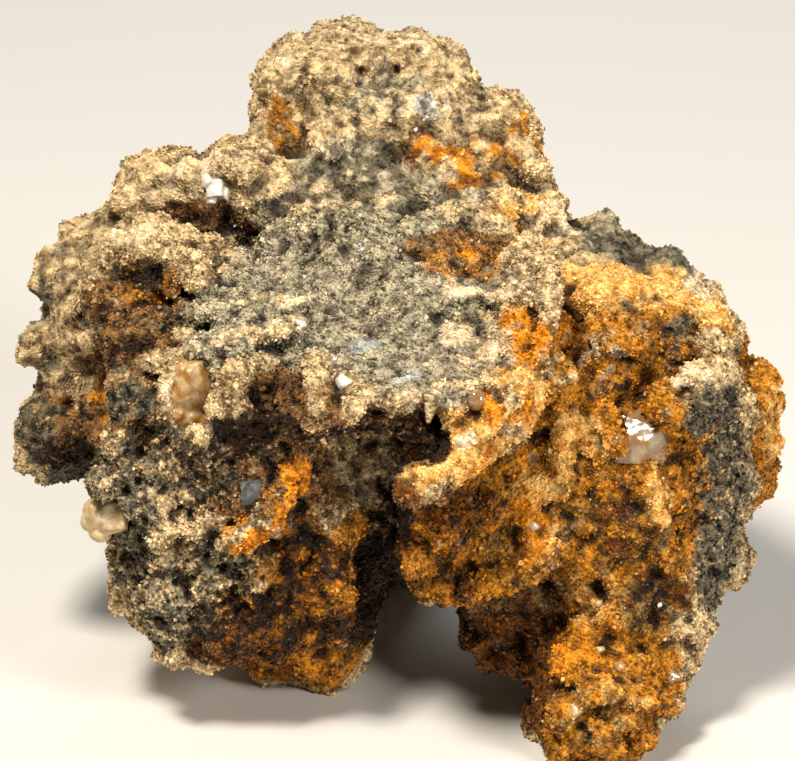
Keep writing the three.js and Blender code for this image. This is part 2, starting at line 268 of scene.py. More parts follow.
# %% Pellets on the rock
PELLETS = [
    # place, then half widths, in millimetres
    # left knob: the scalloped rim
    ((-48.6, -5.5, 74.5), (3.4, 3.6, 3.8)), ((-46.8, -9.5, 79), (3.2, 3.2, 3.2)),
    ((-43.5, -11.8, 81.8), (3.4, 3.2, 2.8)), ((-39.5, -12.2, 83), (3.2, 3, 2.6)),
    ((-35.6, -12.8, 83.2), (3, 2.8, 2.4)), ((-31.6, -12.6, 82), (2.6, 2.6, 2.2)),
    ((-49, -13, 73), (2.8, 3.4, 3.6)),
    # left knob: a small curled knob, and crumbs on the cliff below
    ((-36.6, -17.5, 77.5), (1.5, 1.8, 1.9)), ((-34.6, -16.6, 79.2), (1.8, 1.8, 1.4)),
    ((-32, -17, 78.6), (1.7, 1.8, 1.5)), ((-31.2, -18.5, 76.4), (1.5, 1.8, 1.9)),
    ((-33, -19.5, 74.8), (1.8, 1.8, 1.3)), ((-35.6, -19, 75.2), (1.5, 1.7, 1.4)),
    ((-42.5, -19.5, 74.2), (2.4, 2.2, 1.6)), ((-45.2, -23, 70.5), (2.4, 2.4, 2.2)),
    ((-39.6, -23, 70.6), (2.2, 2, 1.7)), ((-43.4, -27, 66.8), (2.6, 2.2, 2)),
    ((-37.8, -29, 69.2), (2.2, 2, 1.8)),
    # plateau: the ends of its ledges
    ((-33.4, -19, 72.2), (2.6, 2.6, 2.4)), ((-30, -20, 74), (2.4, 2.4, 1.8)),
    ((-34, -24, 70), (2.6, 2.6, 2.6)),
    # finger: a stubby cylinder that points at the camera's lower left
    ((17.6, -39.4, 66.8), (4.6, 4.2, 4.4)), ((13.8, -41.8, 64.2), (4.4, 4, 4.4)),
    ((10, -43.8, 61.4), (4.3, 4, 4.4)), ((6.4, -45.4, 58.8), (4.2, 4, 4.4)),
    ((3.4, -46.4, 56.6), (4, 3.8, 4.2)), ((13.6, -45.2, 63.4), (1.6, 1.4, 1.6)),
    # brow: the stalk, the cream drapes and the teeth
    ((-22.6, -33, 71), (1.8, 2.2, 2.2)), ((-24.2, -35.5, 69.2), (1.7, 2, 2.4)),
    ((-25.8, -37, 66.8), (2.2, 2.2, 2.6)), ((-13.6, -34.5, 70), (2.4, 3.2, 1.6)),
    ((-10.6, -37, 68.2), (2.6, 2.6, 2.2)), ((-12.4, -40.2, 65.6), (2.8, 2.4, 3.2)),
    ((-14.8, -41.5, 61.6), (2.2, 2, 3)), ((-8, -40.6, 65), (2.2, 2.2, 2.6)),
    ((-3.6, -40, 66.6), (2.2, 2.2, 2)), ((0.8, -40.2, 66.4), (2, 2.2, 1.8)),
    ((5.2, -42, 65.6), (1.3, 1.6, 2.8)), ((9.2, -41, 68), (2, 2.2, 1.6)),
    ((15.4, -34, 67.6), (2.2, 2.6, 2)), ((16.6, -29, 71.6), (1.8, 3, 2)),
    # crown: knobs along its edge
    ((-20.5, 17, 99.5), (4.2, 4, 4)), ((-14, 20, 102), (4.4, 4, 2.6)), ((-2, 24, 102.4), (7, 5, 2.2)),
    ((8, 24, 100), (5, 5, 3)), ((17.5, 17, 93), (3.6, 4, 4)), ((21.6, 14, 87), (3.2, 4, 5)),
    ((24.6, 12, 79), (3, 4, 4)),
    # back-left ridge and lobe
    ((-39.5, 6, 87), (3.4, 3.4, 3)), ((-33.8, 4, 88.5), (2.6, 2.6, 2.2)), ((-26, 3, 89.4), (3.6, 3.4, 2.4)),
    ((-46, 5, 82.6), (3.2, 3.6, 3)), ((-58.4, 0, 72), (3.4, 3.6, 3.4)), ((-61, -2, 60), (2.6, 3.6, 4)),
    ((-52, -6, 62), (3, 2.6, 3.4)), ((-56, -9, 46), (4, 3, 5)),
    # left foot: its crest
    ((-41.4, -30.5, 67.5), (2.2, 2.2, 2.8)), ((-42.6, -34, 63.4), (2.6, 2.4, 2.8)),
    ((-45, -34, 58), (2.6, 2.4, 3.4)), ((-47, -33, 50), (2.4, 2.6, 4)), ((-20, -37.6, 46), (2.4, 2.2, 5.4)),
    ((-25, -37.4, 40.4), (4, 2, 2.4)),
    # lip and right mass
    ((24.6, -19, 78), (1.8, 6.5, 2.2)), ((23.6, -27, 75.6), (1.7, 3, 2.2)),
    ((42, -33.6, 64), (2.8, 2.4, 2.2)), ((47, -32, 67), (3.2, 2.6, 2.4)),
    ((51.4, -29.5, 66.6), (2.8, 2.8, 2.6)), ((53.6, -29.5, 62), (2.4, 2.6, 3.2)),
    ((60, -4, 53), (3.4, 8, 4)), ((61, -6, 46), (3.4, 8, 6)), ((60, -6, 38), (3.4, 8, 5)),
    # right foot
    ((27, -38.6, 18.6), (3.2, 2.6, 2.6)), ((33, -42.6, 15.6), (3.2, 2.6, 3)),
    ((40.6, -39.6, 14.4), (3.2, 2.6, 2.8)), ((27, -39.6, 8.6), (3.2, 2.6, 3.2)),
    ((34, -43.4, 6.4), (3.4, 2.8, 3)), ((40.6, -39.6, 5.4), (2.8, 2.6, 3)),
    ((46.4, -33.6, 11), (2.6, 2.4, 3.2)),
]


def press_on(piece, pellets):
    """Join a slightly turned ball to the piece for each pellet."""
    turns = random.Random(4)
    balls = []
    for place, half in pellets:
        only(piece)
        turn = [turns.uniform(-0.3, 0.3) for _ in range(3)]
        bpy.ops.mesh.primitive_ico_sphere_add(subdivisions=2, radius=MM, location=[v * MM for v in place],
                                              rotation=turn, scale=half)
        balls.append(bpy.context.object)
    only(piece, *balls)
    bpy.ops.object.join()


press_on(rock, PELLETS)
remesh(rock, COARSE_NET)
print("pellets:", len(PELLETS), "net:", triangles(rock), "triangles")

# %% [markdown]
# ## Pressing and pulling the larger forms
# Each stroke presses the skin in or pulls it out round a named place or along a line, as a thumb would.

# %% Strokes
STROKES = [
    # place or line, then reach, then height out of the rock, all in millimetres
    # left knob: the hollow under its rim, and the groove between it and the lobe behind
    ([(-44, -15, 78), (-39, -15.5, 79)], (6, 6, 4), -4), ([(-45, -19, 75), (-37, -20, 73)], 5, -2.2),
    ([(-52, -8, 76), (-53, -10, 66), (-50, -14, 58)], 3.2, -3), ((-40, -27, 66), 5, -2.5),
    # back-left ridge: the dark recess under it
    ([(-41, 0, 81.4), (-33, -1, 80), (-26, 0, 78.6)], 5, -4.5),
    # crown: a dent at its foot
    ([(-16, 9, 86), (-6, 9, 87), (4, 8, 86)], 3.5, -0.5), ((-13.5, 19, 103), 3, -1.2),
    # plateau: its ledges from back to front, each with a groove before it
    ([(-27, -2, 80), (-18, -2, 81), (-6, -3, 81)], 2.6, 1),
    ([(-30, -7, 78), (-20, -8, 78.5), (-8, -8, 78.6)], 2.4, -1.2),
    ([(-30, -12, 76.5), (-20, -13, 77.5), (-10, -13, 77)], 2.6, 1.2),
    ([(-30, -17.5, 73), (-20, -20.5, 75), (-10, -17, 75)], 1.9, 1.6),
    ([(-29, -21, 72.6), (-20, -22.5, 73.4), (-11, -19.5, 74)], 1.8, -1.5),
    ([(-27.5, -29.5, 72.2), (-22, -27.5, 73), (-15.7, -24, 72.6)], 1.7, 1.8),
    ([(-27, -32.5, 71), (-20, -30.5, 71.5)], 1.8, -1.4),
    ([(6, -14, 76), (14, -16, 76.5), (22, -18, 77)], 4, 1),
    # brow: the cave, and the groove on each side of the honey crystal
    ([(-20.5, -37.5, 68), (-17.5, -38.5, 66)], 4.2, -6), ([(-28.6, -38, 70), (-29, -39, 64)], 2.2, -3),
    # recess under the brow
    ([(-26, -40, 60), (-17, -41, 59.5), (-5.9, -41.4, 60), (5.1, -44.2, 61.5),
      (12, -42, 64)], (7, 7, 5.5), -6), ([(-14, -40, 54), (-6, -40, 50), (-6, -38, 42)], 6, -3),
    ([(-36, -18.6, 70.4), (-28, -20.4, 72.4), (-18, -22, 73.6)], 1.5, -1.6),
    ([(-26, -33, 70.4), (-18, -29, 71)], 1.6, -1.8),
    ([(-4, -40.6, 63.6), (4, -41.6, 63.6), (11, -40, 65)], 2.6, -3),
    ([(-44, -23.4, 69.6), (-37, -23.6, 70.4)], 1.6, -2),
    # finger: the shadow under it, and the deep corner on its left
    ([(1, -42, 50), (8, -39, 53), (14, -36, 56)], 3.6, -3.6), ([(-1, -42, 62), (5, -40, 66)], 4, -3.5),
    # middle lobe: the shadow under its edge
    ([(1, -32, 29), (9, -31, 26.5), (17, -31, 28), (25, -33, 33)], 3.4, -3.4),
    # left foot: the groove beside the slanting amber ridge
    ([(-15, -37, 52), (-15.5, -35, 45), (-21, -35, 37)], 3.4, -3.2), ((-26, -38, 52), 4, -2),
    ((-33, -36, 46), 4, -1.8),
    # right mass: the crevice above the cream ledge
    ([(35, -28, 62.2), (38, -27, 63.5), (42, -26, 66.5), (47.2, -23.5, 70), (50, -16, 71)], 3.4, -6),
    ([(29, -22, 71), (30, -30, 62)], 3, -1.8), ((43, -23, 71), 2.4, -3),
    # lip: the deep step beside it, and its hollowed cliff
    ([(28.5, -12, 76), (28.5, -22, 71), (27.5, -30, 64)], 3, -3), ([(20.5, -26, 73), (21, -31, 68)], 3, -2),
    ([(17, -22, 75), (17, -28, 71), (17.6, -33, 67.6)], 1.8, -2.6),
    # right foot: two holes
    ((42.5, -32.5, 23.8), 3.2, -5), ((40, -35, 19.1), 2.6, -3.5), ((33, -31, 30), 3, -2),
]


def sculpt(piece, strokes):
    """Move the skin along its smoothed normals at each stroke."""
    points, normals = points_of(piece.data), smoothed(piece.data, normals_of(piece.data), 6)
    normals /= np.linalg.norm(normals, axis=1)[:, None] + 1e-9
    shift = np.zeros(len(points))
    for place, reach, height in strokes:
        shift += height * fade(points, place, reach)
    place_points(piece.data, points + shift[:, None] * normals)


sculpt(rock, STROKES)
remesh(rock, MIDDLE_NET)
print("strokes:", len(STROKES))

# %% [markdown]
# ## Relief
# Coral limestone is knobbly and full of pores. Noise pushes the skin in and out: knobs a few millimetres
# wide, then pores, each weighted by the region's own character. The regions are soft patches, and each
# point of the skin stores how much it belongs to each of them.

# %% Where the rock is porous, sandy, worn or at the back: place, reach and strength
REGIONS = {
    # open coral pores, as on the crown and the left foot
    "porous": [
        ((-2, 13, 93), (28, 22, 16), 0.7), ((-36, -33, 40), (24, 18, 34), 1),
        ((52, -25, 45), (10, 14, 32), 0.9), ((-43, -17, 74), (10, 8, 10), 0.7),
        ((-10, -40, 56), (26, 12, 14), 1), ((-55, -4, 55), (16, 16, 24), 0.5),
        ((-12, -4, 80), (18, 8, 5), 0.8)],
    # the plateau is packed fine sand
    "sandy": [
        ((-5, -12, 77), (36, 24, 9), 0.6), ((0, -28, 70.5), (28, 14, 6), 0.9),
        ((38, -12, 75), (18, 12, 6), 0.7), ((8, -46, 60), (12, 8, 8), 0.5)],
    # the crown, the lobe behind and the shoulder are rubbed, so their grains differ less
    "worn": [
        ((-2, 14, 94), (34, 24, 22), 1), ((-54, 0, 66), (22, 20, 36), 1), ((-34, 4, 87), (18, 12, 8), 1),
        ((39, 4, 75), (22, 16, 10), 0.8)],
    # the far side keeps few pores
    "far": [
        ((0, 60, 30), (110, 52, 80), 1)],
}


# %% Numbers stored on the skin
def note(mesh, name, values):
    """Store one number for each point of the mesh under this name."""
    kept = mesh.attributes.get(name) or mesh.attributes.new(name, "FLOAT", "POINT")
    kept.data.foreach_set("value", values.astype(np.float32))


def patches(points, spots):
    """The strongest of the soft patches at each point. A patch is full over its inner half."""
    best = np.zeros(len(points))
    for place, reach, strength in spots:
        best = np.maximum(best, strength * np.clip(1.8 * fade(points, place, reach), 0, 1))
    return best


def note_patches(mesh, kinds):
    """Store how strong each kind of patch is. Remeshing drops such numbers, so they are stored anew."""
    points = points_of(mesh)
    for name, spots in kinds.items():
        note(mesh, name, patches(points, spots))


note_patches(rock.data, REGIONS)


# %% A node tree that moves the skin
def new_tree(name):
    """An empty geometry node tree with its input node and its output node."""
    tree = bpy.data.node_groups.new(name, "GeometryNodeTree")
    for way in ("INPUT", "OUTPUT"):
        tree.interface.new_socket("Geometry", in_out=way, socket_type="NodeSocketGeometry")
    return tree, add(tree, "NodeGroupInput"), add(tree, "NodeGroupOutput")


def relief_tree(name, build):
    """A node tree whose build function returns the height in metres to move each point outwards."""
    tree, start, end = new_tree(name)
    height = build(tree)
    push = add(tree, "ShaderNodeVectorMath", {0: add(tree, "GeometryNodeInputNormal"), 3: height},
               operation="SCALE")
    moved = add(tree, "GeometryNodeSetPosition", {"Geometry": start, "Offset": push})
    tree.links.new(moved.outputs[0], end.inputs[0])
    return tree


def dress(piece, tree):
    """Apply a node tree to the piece."""
    only(piece)
    change = piece.modifiers.new(tree.name, "NODES")
    change.node_group = tree
    bpy.ops.object.modifier_apply(modifier=change.name)


# %% Fields of lumps, knobs and pores, each with its size in millimetres
def ragged_place(tree, size, reach, place=None):
    """The place, moved up to reach millimetres by noise, so that what is drawn there has ragged edges."""
    place = place or add(tree, "GeometryNodeInputPosition").outputs[0]
    noisy = add(tree, "ShaderNodeTexNoise", {"Vector": place, "Scale": 1000 / size, "Detail": 2.0})
    push = add(tree, "ShaderNodeVectorMath", {0: noisy.outputs[1], 1: (0.5,) * 3}, operation="SUBTRACT")
    return add(tree, "ShaderNodeVectorMath", {0: push, 1: (2 * reach * MM,) * 3, 2: place},
               operation="MULTIPLY_ADD")


def lumps(tree, size, rough):
    """Broken lumps: about 0.5 on their tops and -0.5 between them."""
    noisy = add(tree, "ShaderNodeTexNoise", {"Scale": 1000 / size, "Detail": 4.0, "Roughness": rough})
    return add(tree, "ShaderNodeMath", {0: noisy, 1: 0.5}, operation="SUBTRACT")


def knobs(tree, size):
    """Rounded knobs: about 0.5 on their tops and -0.5 or less between them."""
    place = ragged_place(tree, size, 0.25 * size)
    cells = add(tree, "ShaderNodeTexVoronoi", {"Vector": place, "Scale": 1000 / size, "Randomness": 1.0})
    square = add(tree, "ShaderNodeMath", {0: cells, 1: cells}, operation="MULTIPLY")
    return add(tree, "ShaderNodeMath", {0: square, 1: -1.6, 2: 0.5}, operation="MULTIPLY_ADD")


def pores(tree, size, wide, seed=0.0):
    """Ragged pores on a net: 1 in a pore and 0 outside it."""
    place = ragged_place(tree, size * 0.7, 0.3 * size)
    cells = add(tree, "ShaderNodeTexVoronoi", {"Vector": place, "W": seed, "Scale": 1000 / size,
                                               "Randomness": 0.85}, voronoi_dimensions="4D")
    return add(tree, "ShaderNodeMapRange", {"Value": cells, 1: wide, 2: wide * 0.5, 3: 0.0, 4: 1.0},
               interpolation_type="SMOOTHSTEP")


# %% The two fields that the relief, the crust and the paint share
# the way from one pore to the next, and the width of a swarm of pores, in millimetres
PORE_NET, SWARM = 1.9, 7


def crust_pores(tree, place, porous, sandy):
    """The millimetre pores, 1 inside, in swarms: wide where the rock is porous, few where it is sandy."""
    cells = add(tree, "ShaderNodeTexVoronoi", {"Vector": ragged_place(tree, 1.3, 0.7, place),
                                               "Scale": 1000 / PORE_NET, "Randomness": 1.0})
    swarm = add(tree, "ShaderNodeTexNoise", {"Vector": place, "Scale": 1000 / SWARM, "Detail": 3.0,
                                             "Roughness": 0.6})
    wide = add(tree, "ShaderNodeMath", {0: swarm, 1: 1.3, 2: -0.44}, operation="MULTIPLY_ADD")
    wide = add(tree, "ShaderNodeMath", {0: porous, 1: 0.26, 2: wide}, operation="MULTIPLY_ADD")
    wide = add(tree, "ShaderNodeMath", {0: sandy, 1: -0.12, 2: wide}, operation="MULTIPLY_ADD")
    wide = add(tree, "ShaderNodeMath", {0: wide, 1: 0.01}, operation="MAXIMUM")
    half = add(tree, "ShaderNodeMath", {0: wide, 1: 0.6}, operation="MULTIPLY")
    return add(tree, "ShaderNodeMapRange", {"Value": cells, 1: wide, 2: half, 3: 0.0, 4: 1.0},
               interpolation_type="SMOOTHSTEP")


def crumbs(tree, place):
    """Heaps of grains of different widths: 1 on a heap's top and 0 between the heaps."""
    heaps = add(tree, "ShaderNodeTexNoise", {"Vector": ragged_place(tree, 0.9, 0.4, place),
                                             "Scale": 1000 / 2.6, "Detail": 4.0, "Roughness": 0.7})
    return add(tree, "ShaderNodeMapRange", {"Value": heaps, 1: 0.36, 2: 0.64, 3: 0.0, 4: 1.0})


# %% The broad relief
def heaped(tree, *fields):
    """The sum of fields, each given with its height in millimetres and the field that weighs it, if any."""
    total = 0.0
    for field, height, weight in fields:
        if weight:
            field = add(tree, "ShaderNodeMath", {0: field, 1: weight}, operation="MULTIPLY")
        total = add(tree, "ShaderNodeMath", {0: field, 1: height * MM, 2: total}, operation="MULTIPLY_ADD")
    return total


def broad_relief(tree):
    """Lumps, knobs and pores a few millimetres wide, half as high on sand, with few pores at the back."""
    porous, sandy, far = [add(tree, "GeometryNodeInputNamedAttribute", {"Name": name}, data_type="FLOAT")
                          for name in ("porous", "sandy", "far")]
    calm = add(tree, "ShaderNodeMath", {0: sandy, 1: -0.5, 2: 1.0}, operation="MULTIPLY_ADD")
    open_part = add(tree, "ShaderNodeMath", {0: calm, 1: far}, operation="SUBTRACT", use_clamp=True)
    return heaped(tree, (lumps(tree, 10, 0.65), 7.0, calm), (knobs(tree, 5.5), 1.8, calm),
                  (knobs(tree, 3.2), 1.5, calm), (lumps(tree, 4.5, 0.6), 2.4, calm),
                  (pores(tree, 4.0, 0.5), -2.8, porous), (pores(tree, 7.5, 0.24, 3), -3.0, open_part))


dress(rock, relief_tree("knobs_and_pores", broad_relief))
remesh(rock, FINE_NET)
print("rock skin:", triangles(rock), "triangles")

# %% [markdown]
# ## Ropes, drapes and small knobs
# On the real lump, crust runs in ropes along the ledges and hangs in drapes over the brow. They follow the
# skin, which the relief has just changed, so their lines are given roughly. Each ball is seated where a ray
# from the front meets the skin, a little less than a radius from the next, and is then pushed out, so that
# none floats and none is buried.

# %% Forms seated on the skin
TO_CAMERA = (VIEW_FROM - LOOK_AT).normalized()
SEATED = [
    # line, radius, and how far it stands out, in millimetres
    # plateau: its two ledges and their bulbs, the rope, the stalk, the drapes
    ([(-37, -15.5, 70.5), (-33, -16.5, 71.5), (-29.6, -18, 72.6), (-20.6, -20.7, 74.9),
      (-13, -19, 74.9)], 1.6, 1.9), ([(-35.5, -16.5, 70)], 2.6, 1.9), ([(-34, -24, 70)], 2.4, 1.6),
    ([(-31, -27, 70.6)], 2.2, 1.5),
    ([(-30.3, -31.5, 71.8), (-27.5, -31.1, 72.2), (-22, -28.5, 72.8), (-15.7, -23.2, 72.1)], 1, 1.7),
    ([(-25, -30.5, 70.4), (-25.8, -33.5, 69), (-27.6, -35.5, 67), (-28.4, -37, 64.4)], 1.6, 1.7),
    ([(-13, -31, 70), (-12.5, -36, 68.3), (-12.5, -39.5, 65.3), (-13.5, -41, 61.6)], 2.2, 1.8),
    ([(-8, -36, 68.2), (-7.5, -39.4, 65.6)], 2, 1.8), ([(-17.5, -35, 69), (-18, -38, 66)], 1.3, 1.4),
    # brow: its scalloped edge
    ([(-6.5, -38, 67.2), (-2, -38.4, 66.6), (2, -38.8, 66.6), (6, -39.6, 67), (9.6, -39, 68.4),
      (13, -37.8, 68.4), (15.6, -33, 68.2)], 1.6, 2),
    # plateau: the ground under its step
    ([(8, -19, 73.6), (12, -21, 73.8), (16, -24, 73)], 2.4, 1.6), ([(8, -16, 74), (15, -18, 74.4)], 2, 1.2),
    # lip: its crest and the step to the plateau
    ([(24.4, -14, 78.6), (24.5, -20, 77.8), (24.2, -25, 75.6), (23.4, -29, 73), (23, -33, 70)], 1.5, 1.7),
    ([(8, -17, 75.2), (13, -19, 76), (17, -21.5, 76.4), (21, -23.6, 77.4)], 1.3, 1.6),
    # left foot: its crest and the slanting amber ridge
    ([(-43, -31, 65.5)], 3.2, 1.8), ([(-41.5, -29.5, 68.6)], 1.4, 2.4), ([(13.6, -42, 63)], 2, 1.5),
    ([(-16, -34, 53.5), (-18.2, -34.6, 48.2), (-21.9, -35, 43.1), (-28, -35, 38.5)], 2.2, 1.8),
    ([(-40, -34, 30), (-36, -34, 27)], 2.4, 1.6), ([(-46, -32, 46), (-44, -33, 40)], 2.4, 1.4),
    ([(-12, -33, 34), (-9, -33, 28), (-10, -32, 22)], 2.2, 1.4),
    # middle lobe: the rim round its foot
    ([(3.2, -36, 36), (5.6, -35.5, 31), (11, -35.2, 31), (16.6, -35.6, 32.6), (21, -36, 35.5),
      (26, -36, 39)], 2.6, 2.2),
    # right mass: its ribs, and the ledge over the crevice
    ([(39.5, -33, 52), (41, -33.6, 46), (42.6, -33.6, 40), (45.5, -32.6, 33)], 2.2, 1.9),
    ([(27, -28, 66), (27, -31, 58), (26, -33, 48)], 2, 1.6), ([(34, -24, 70), (39, -24, 69)], 1.8, 1.6),
    ([(33, -30, 62), (35.4, -31, 55)], 1.8, 1.5), ([(44, -33, 62), (50, -31, 63)], 2.2, 1.6),
    ([(31, -18, 75), (37, -16, 75.4), (44, -15, 74.6)], 2.2, 1.5),
    # right foot
    ([(34, -38, 17.5), (39, -37.6, 17)], 2.8, 1.8), ([(27, -38, 10)], 3, 1.4), ([(37, -38, 9)], 3, 1.4),
    ([(30, -36, 24), (36, -35, 25)], 1.8, 1.4),
    # crown: its foot runs smoothly down to the plateau
    ([(-15, 10, 86), (-8, 10, 87), (0, 9, 87), (6, 9, 86)], 3.2, 1.6),
    ([(12, 10, 87), (16, 11, 85), (20, 13, 81)], 3.2, 1.8),
    ([(17, 9, 80), (21, 9, 79), (25, 7, 78)], 3.2, 2.2), ([(20, 16, 87), (23, 15, 84)], 2.6, 1.6),
    ([(1, 7, 84), (5, 6, 84)], 2.8, 1.6), ([(-12, 12, 89.5), (-4, 12, 90), (3, 12, 90)], 3, 1.6),
    ([(-16, 7, 85), (-8, 7, 85.6), (0, 6, 85)], 2.4, 0.9),
    ([(14, 12, 88.5), (16, 11, 86), (16, 10, 83)], 3.2, 2.2), ([(8, 14, 92.5), (11, 14, 92)], 2.6, 1.5),
    # left knob: a small curled knob
    ([(-37, -15, 78), (-36, -15, 80.4), (-33.6, -14.6, 81), (-31.4, -14.8, 79.6), (-31.6, -15.4, 77),
      (-34, -16, 75.6)], 1.3, 1.7),
    # middle lobe: its shoulder under the finger's root
    ([(19, -32, 52), (22, -32, 48)], 3.4, 1.4),
    # brow: the cream rim that holds the honey crystal
    ([(-34.6, -33.5, 72.4), (-36.8, -34.6, 70), (-37.4, -36, 66.5), (-36.8, -37, 62.5), (-34.6, -38, 60),
      (-31.4, -38.4, 60.4)], 1.5, 1.8), ([(-29.4, -37, 64), (-29, -36.4, 67)], 1.1, 1.8),
    # left knob: the steps of its cliff
    ([(-45, -20, 71.8), (-41, -20.5, 72), (-37, -20, 72)], 1.8, 1.8),
    ([(-44, -26, 67), (-39, -27, 68)], 1.7, 1.7),
]


def on_skin(place):
    """The point of the rock that is seen from the front at this place, in millimetres."""
    eye = Vector(place) * MM + TO_CAMERA * 30 * MM
    hit, point, _, _ = rock.ray_cast(eye, -TO_CAMERA)
    return Vector(point / MM) if hit else Vector(place)


def seated_pellets(forms):
    """Balls close together along each line, on the skin as seen from the front, pushed out towards it."""
    made = []
    for line, radius, rise in forms:
        stops = [line[0]]
        for start, end in zip(line[:-1], line[1:]):
            count = max(1, round((Vector(end) - Vector(start)).length / (0.8 * radius)))
            stops += [Vector(start).lerp(Vector(end), (i + 1) / count) for i in range(count)]
        for stop in stops:
            made.append((on_skin(stop) + TO_CAMERA * (rise - 0.7 * radius), (radius * 1.1, radius, radius)))
    return made


def rubble(count, low, high, least, most):
    """Loose lumps of different widths, seated at random places between two corners, in millimetres."""
    draw = random.Random(9)
    made = []
    for _ in range(count):
        place = [draw.uniform(a, b) for a, b in zip(low, high)]
        radius = draw.uniform(least, most)
        made.append((on_skin(place) - TO_CAMERA * draw.uniform(0, 0.6) * radius,
                     (radius * draw.uniform(0.9, 1.5), radius, radius * draw.uniform(0.7, 1.0))))
    return made


# the back of the plateau, at the crown's foot, is strewn with loose lumps
seated_balls = seated_pellets(SEATED) + rubble(110, (-32, -12, 76), (14, 5, 82), 0.9, 2.1)
press_on(rock, seated_balls)
remesh(rock, FINE_NET)
print("seated pellets:", len(seated_balls))

# %% The fine relief
def fine_relief(tree):
    """Knobs, millimetre pores and crumbs."""
    porous, sandy = [add(tree, "GeometryNodeInputNamedAttribute", {"Name": name}, data_type="FLOAT")
                     for name in ("porous", "sandy")]
    calm = add(tree, "ShaderNodeMath", {0: sandy, 1: -0.5, 2: 1.0}, operation="MULTIPLY_ADD")
    place = add(tree, "GeometryNodeInputPosition").outputs[0]
    return heaped(tree, (knobs(tree, 2.2), 0.9, calm),
                  (crust_pores(tree, place, porous, sandy), -2.0, None),
                  (lumps(tree, 1.6, 0.65), 1.1, None))


note_patches(rock.data, REGIONS)
dress(rock, relief_tree("crumbs_and_pits", fine_relief))
remesh(rock, FINE_NET)
print("rock skin:", triangles(rock), "triangles")

# %% [markdown]
# ## A lighter net
# The skin has to stay under 200,000 triangles, so that its file isn't thinned later. Decimation takes
# triangles away where they say least, and a vertex group makes it take most of them at the back and
# underneath, which are seldom seen.

# %% Thin the net
SKIN_TRIANGLES = 196000
points = points_of(rock.data)
# 0 where the photograph looks, rising to 1 behind, and back to 0 near the top of the crown
hidden = np.clip((points[:, 1] + 5) / 20, 0, 1) * np.clip((100 - points[:, 2]) / 20, 0, 1)
keep = rock.vertex_groups.new(name="keep_detail")
for share in range(11):
    chosen = np.nonzero(np.round(hidden * 10) == share)[0]
    keep.add(chosen.tolist(), 0.25 + 0.75 * share / 10, "REPLACE")
only(rock)
thinner = rock.modifiers.new("thinner", "DECIMATE")
thinner.vertex_group, thinner.vertex_group_factor = keep.name, 4.0
thinner.ratio = SKIN_TRIANGLES / (len(rock.data.polygons) * 2)
bpy.ops.object.modifier_apply(modifier=thinner.name)
rock.vertex_groups.clear()
print("rock skin thinned:", triangles(rock), "triangles")


# %% Keep the skin inside the solid's box
def keep_inside(mesh, margin):
    """Press whatever is past the solid's box, less the margin in millimetres, back to it."""
    low, high = np.array(cad_low) / MM + margin, np.array(cad_high) / MM - margin
    low[2] = 0
    place_points(mesh, np.clip(points_of(mesh), low, high))


keep_inside(rock.data, 0.5)
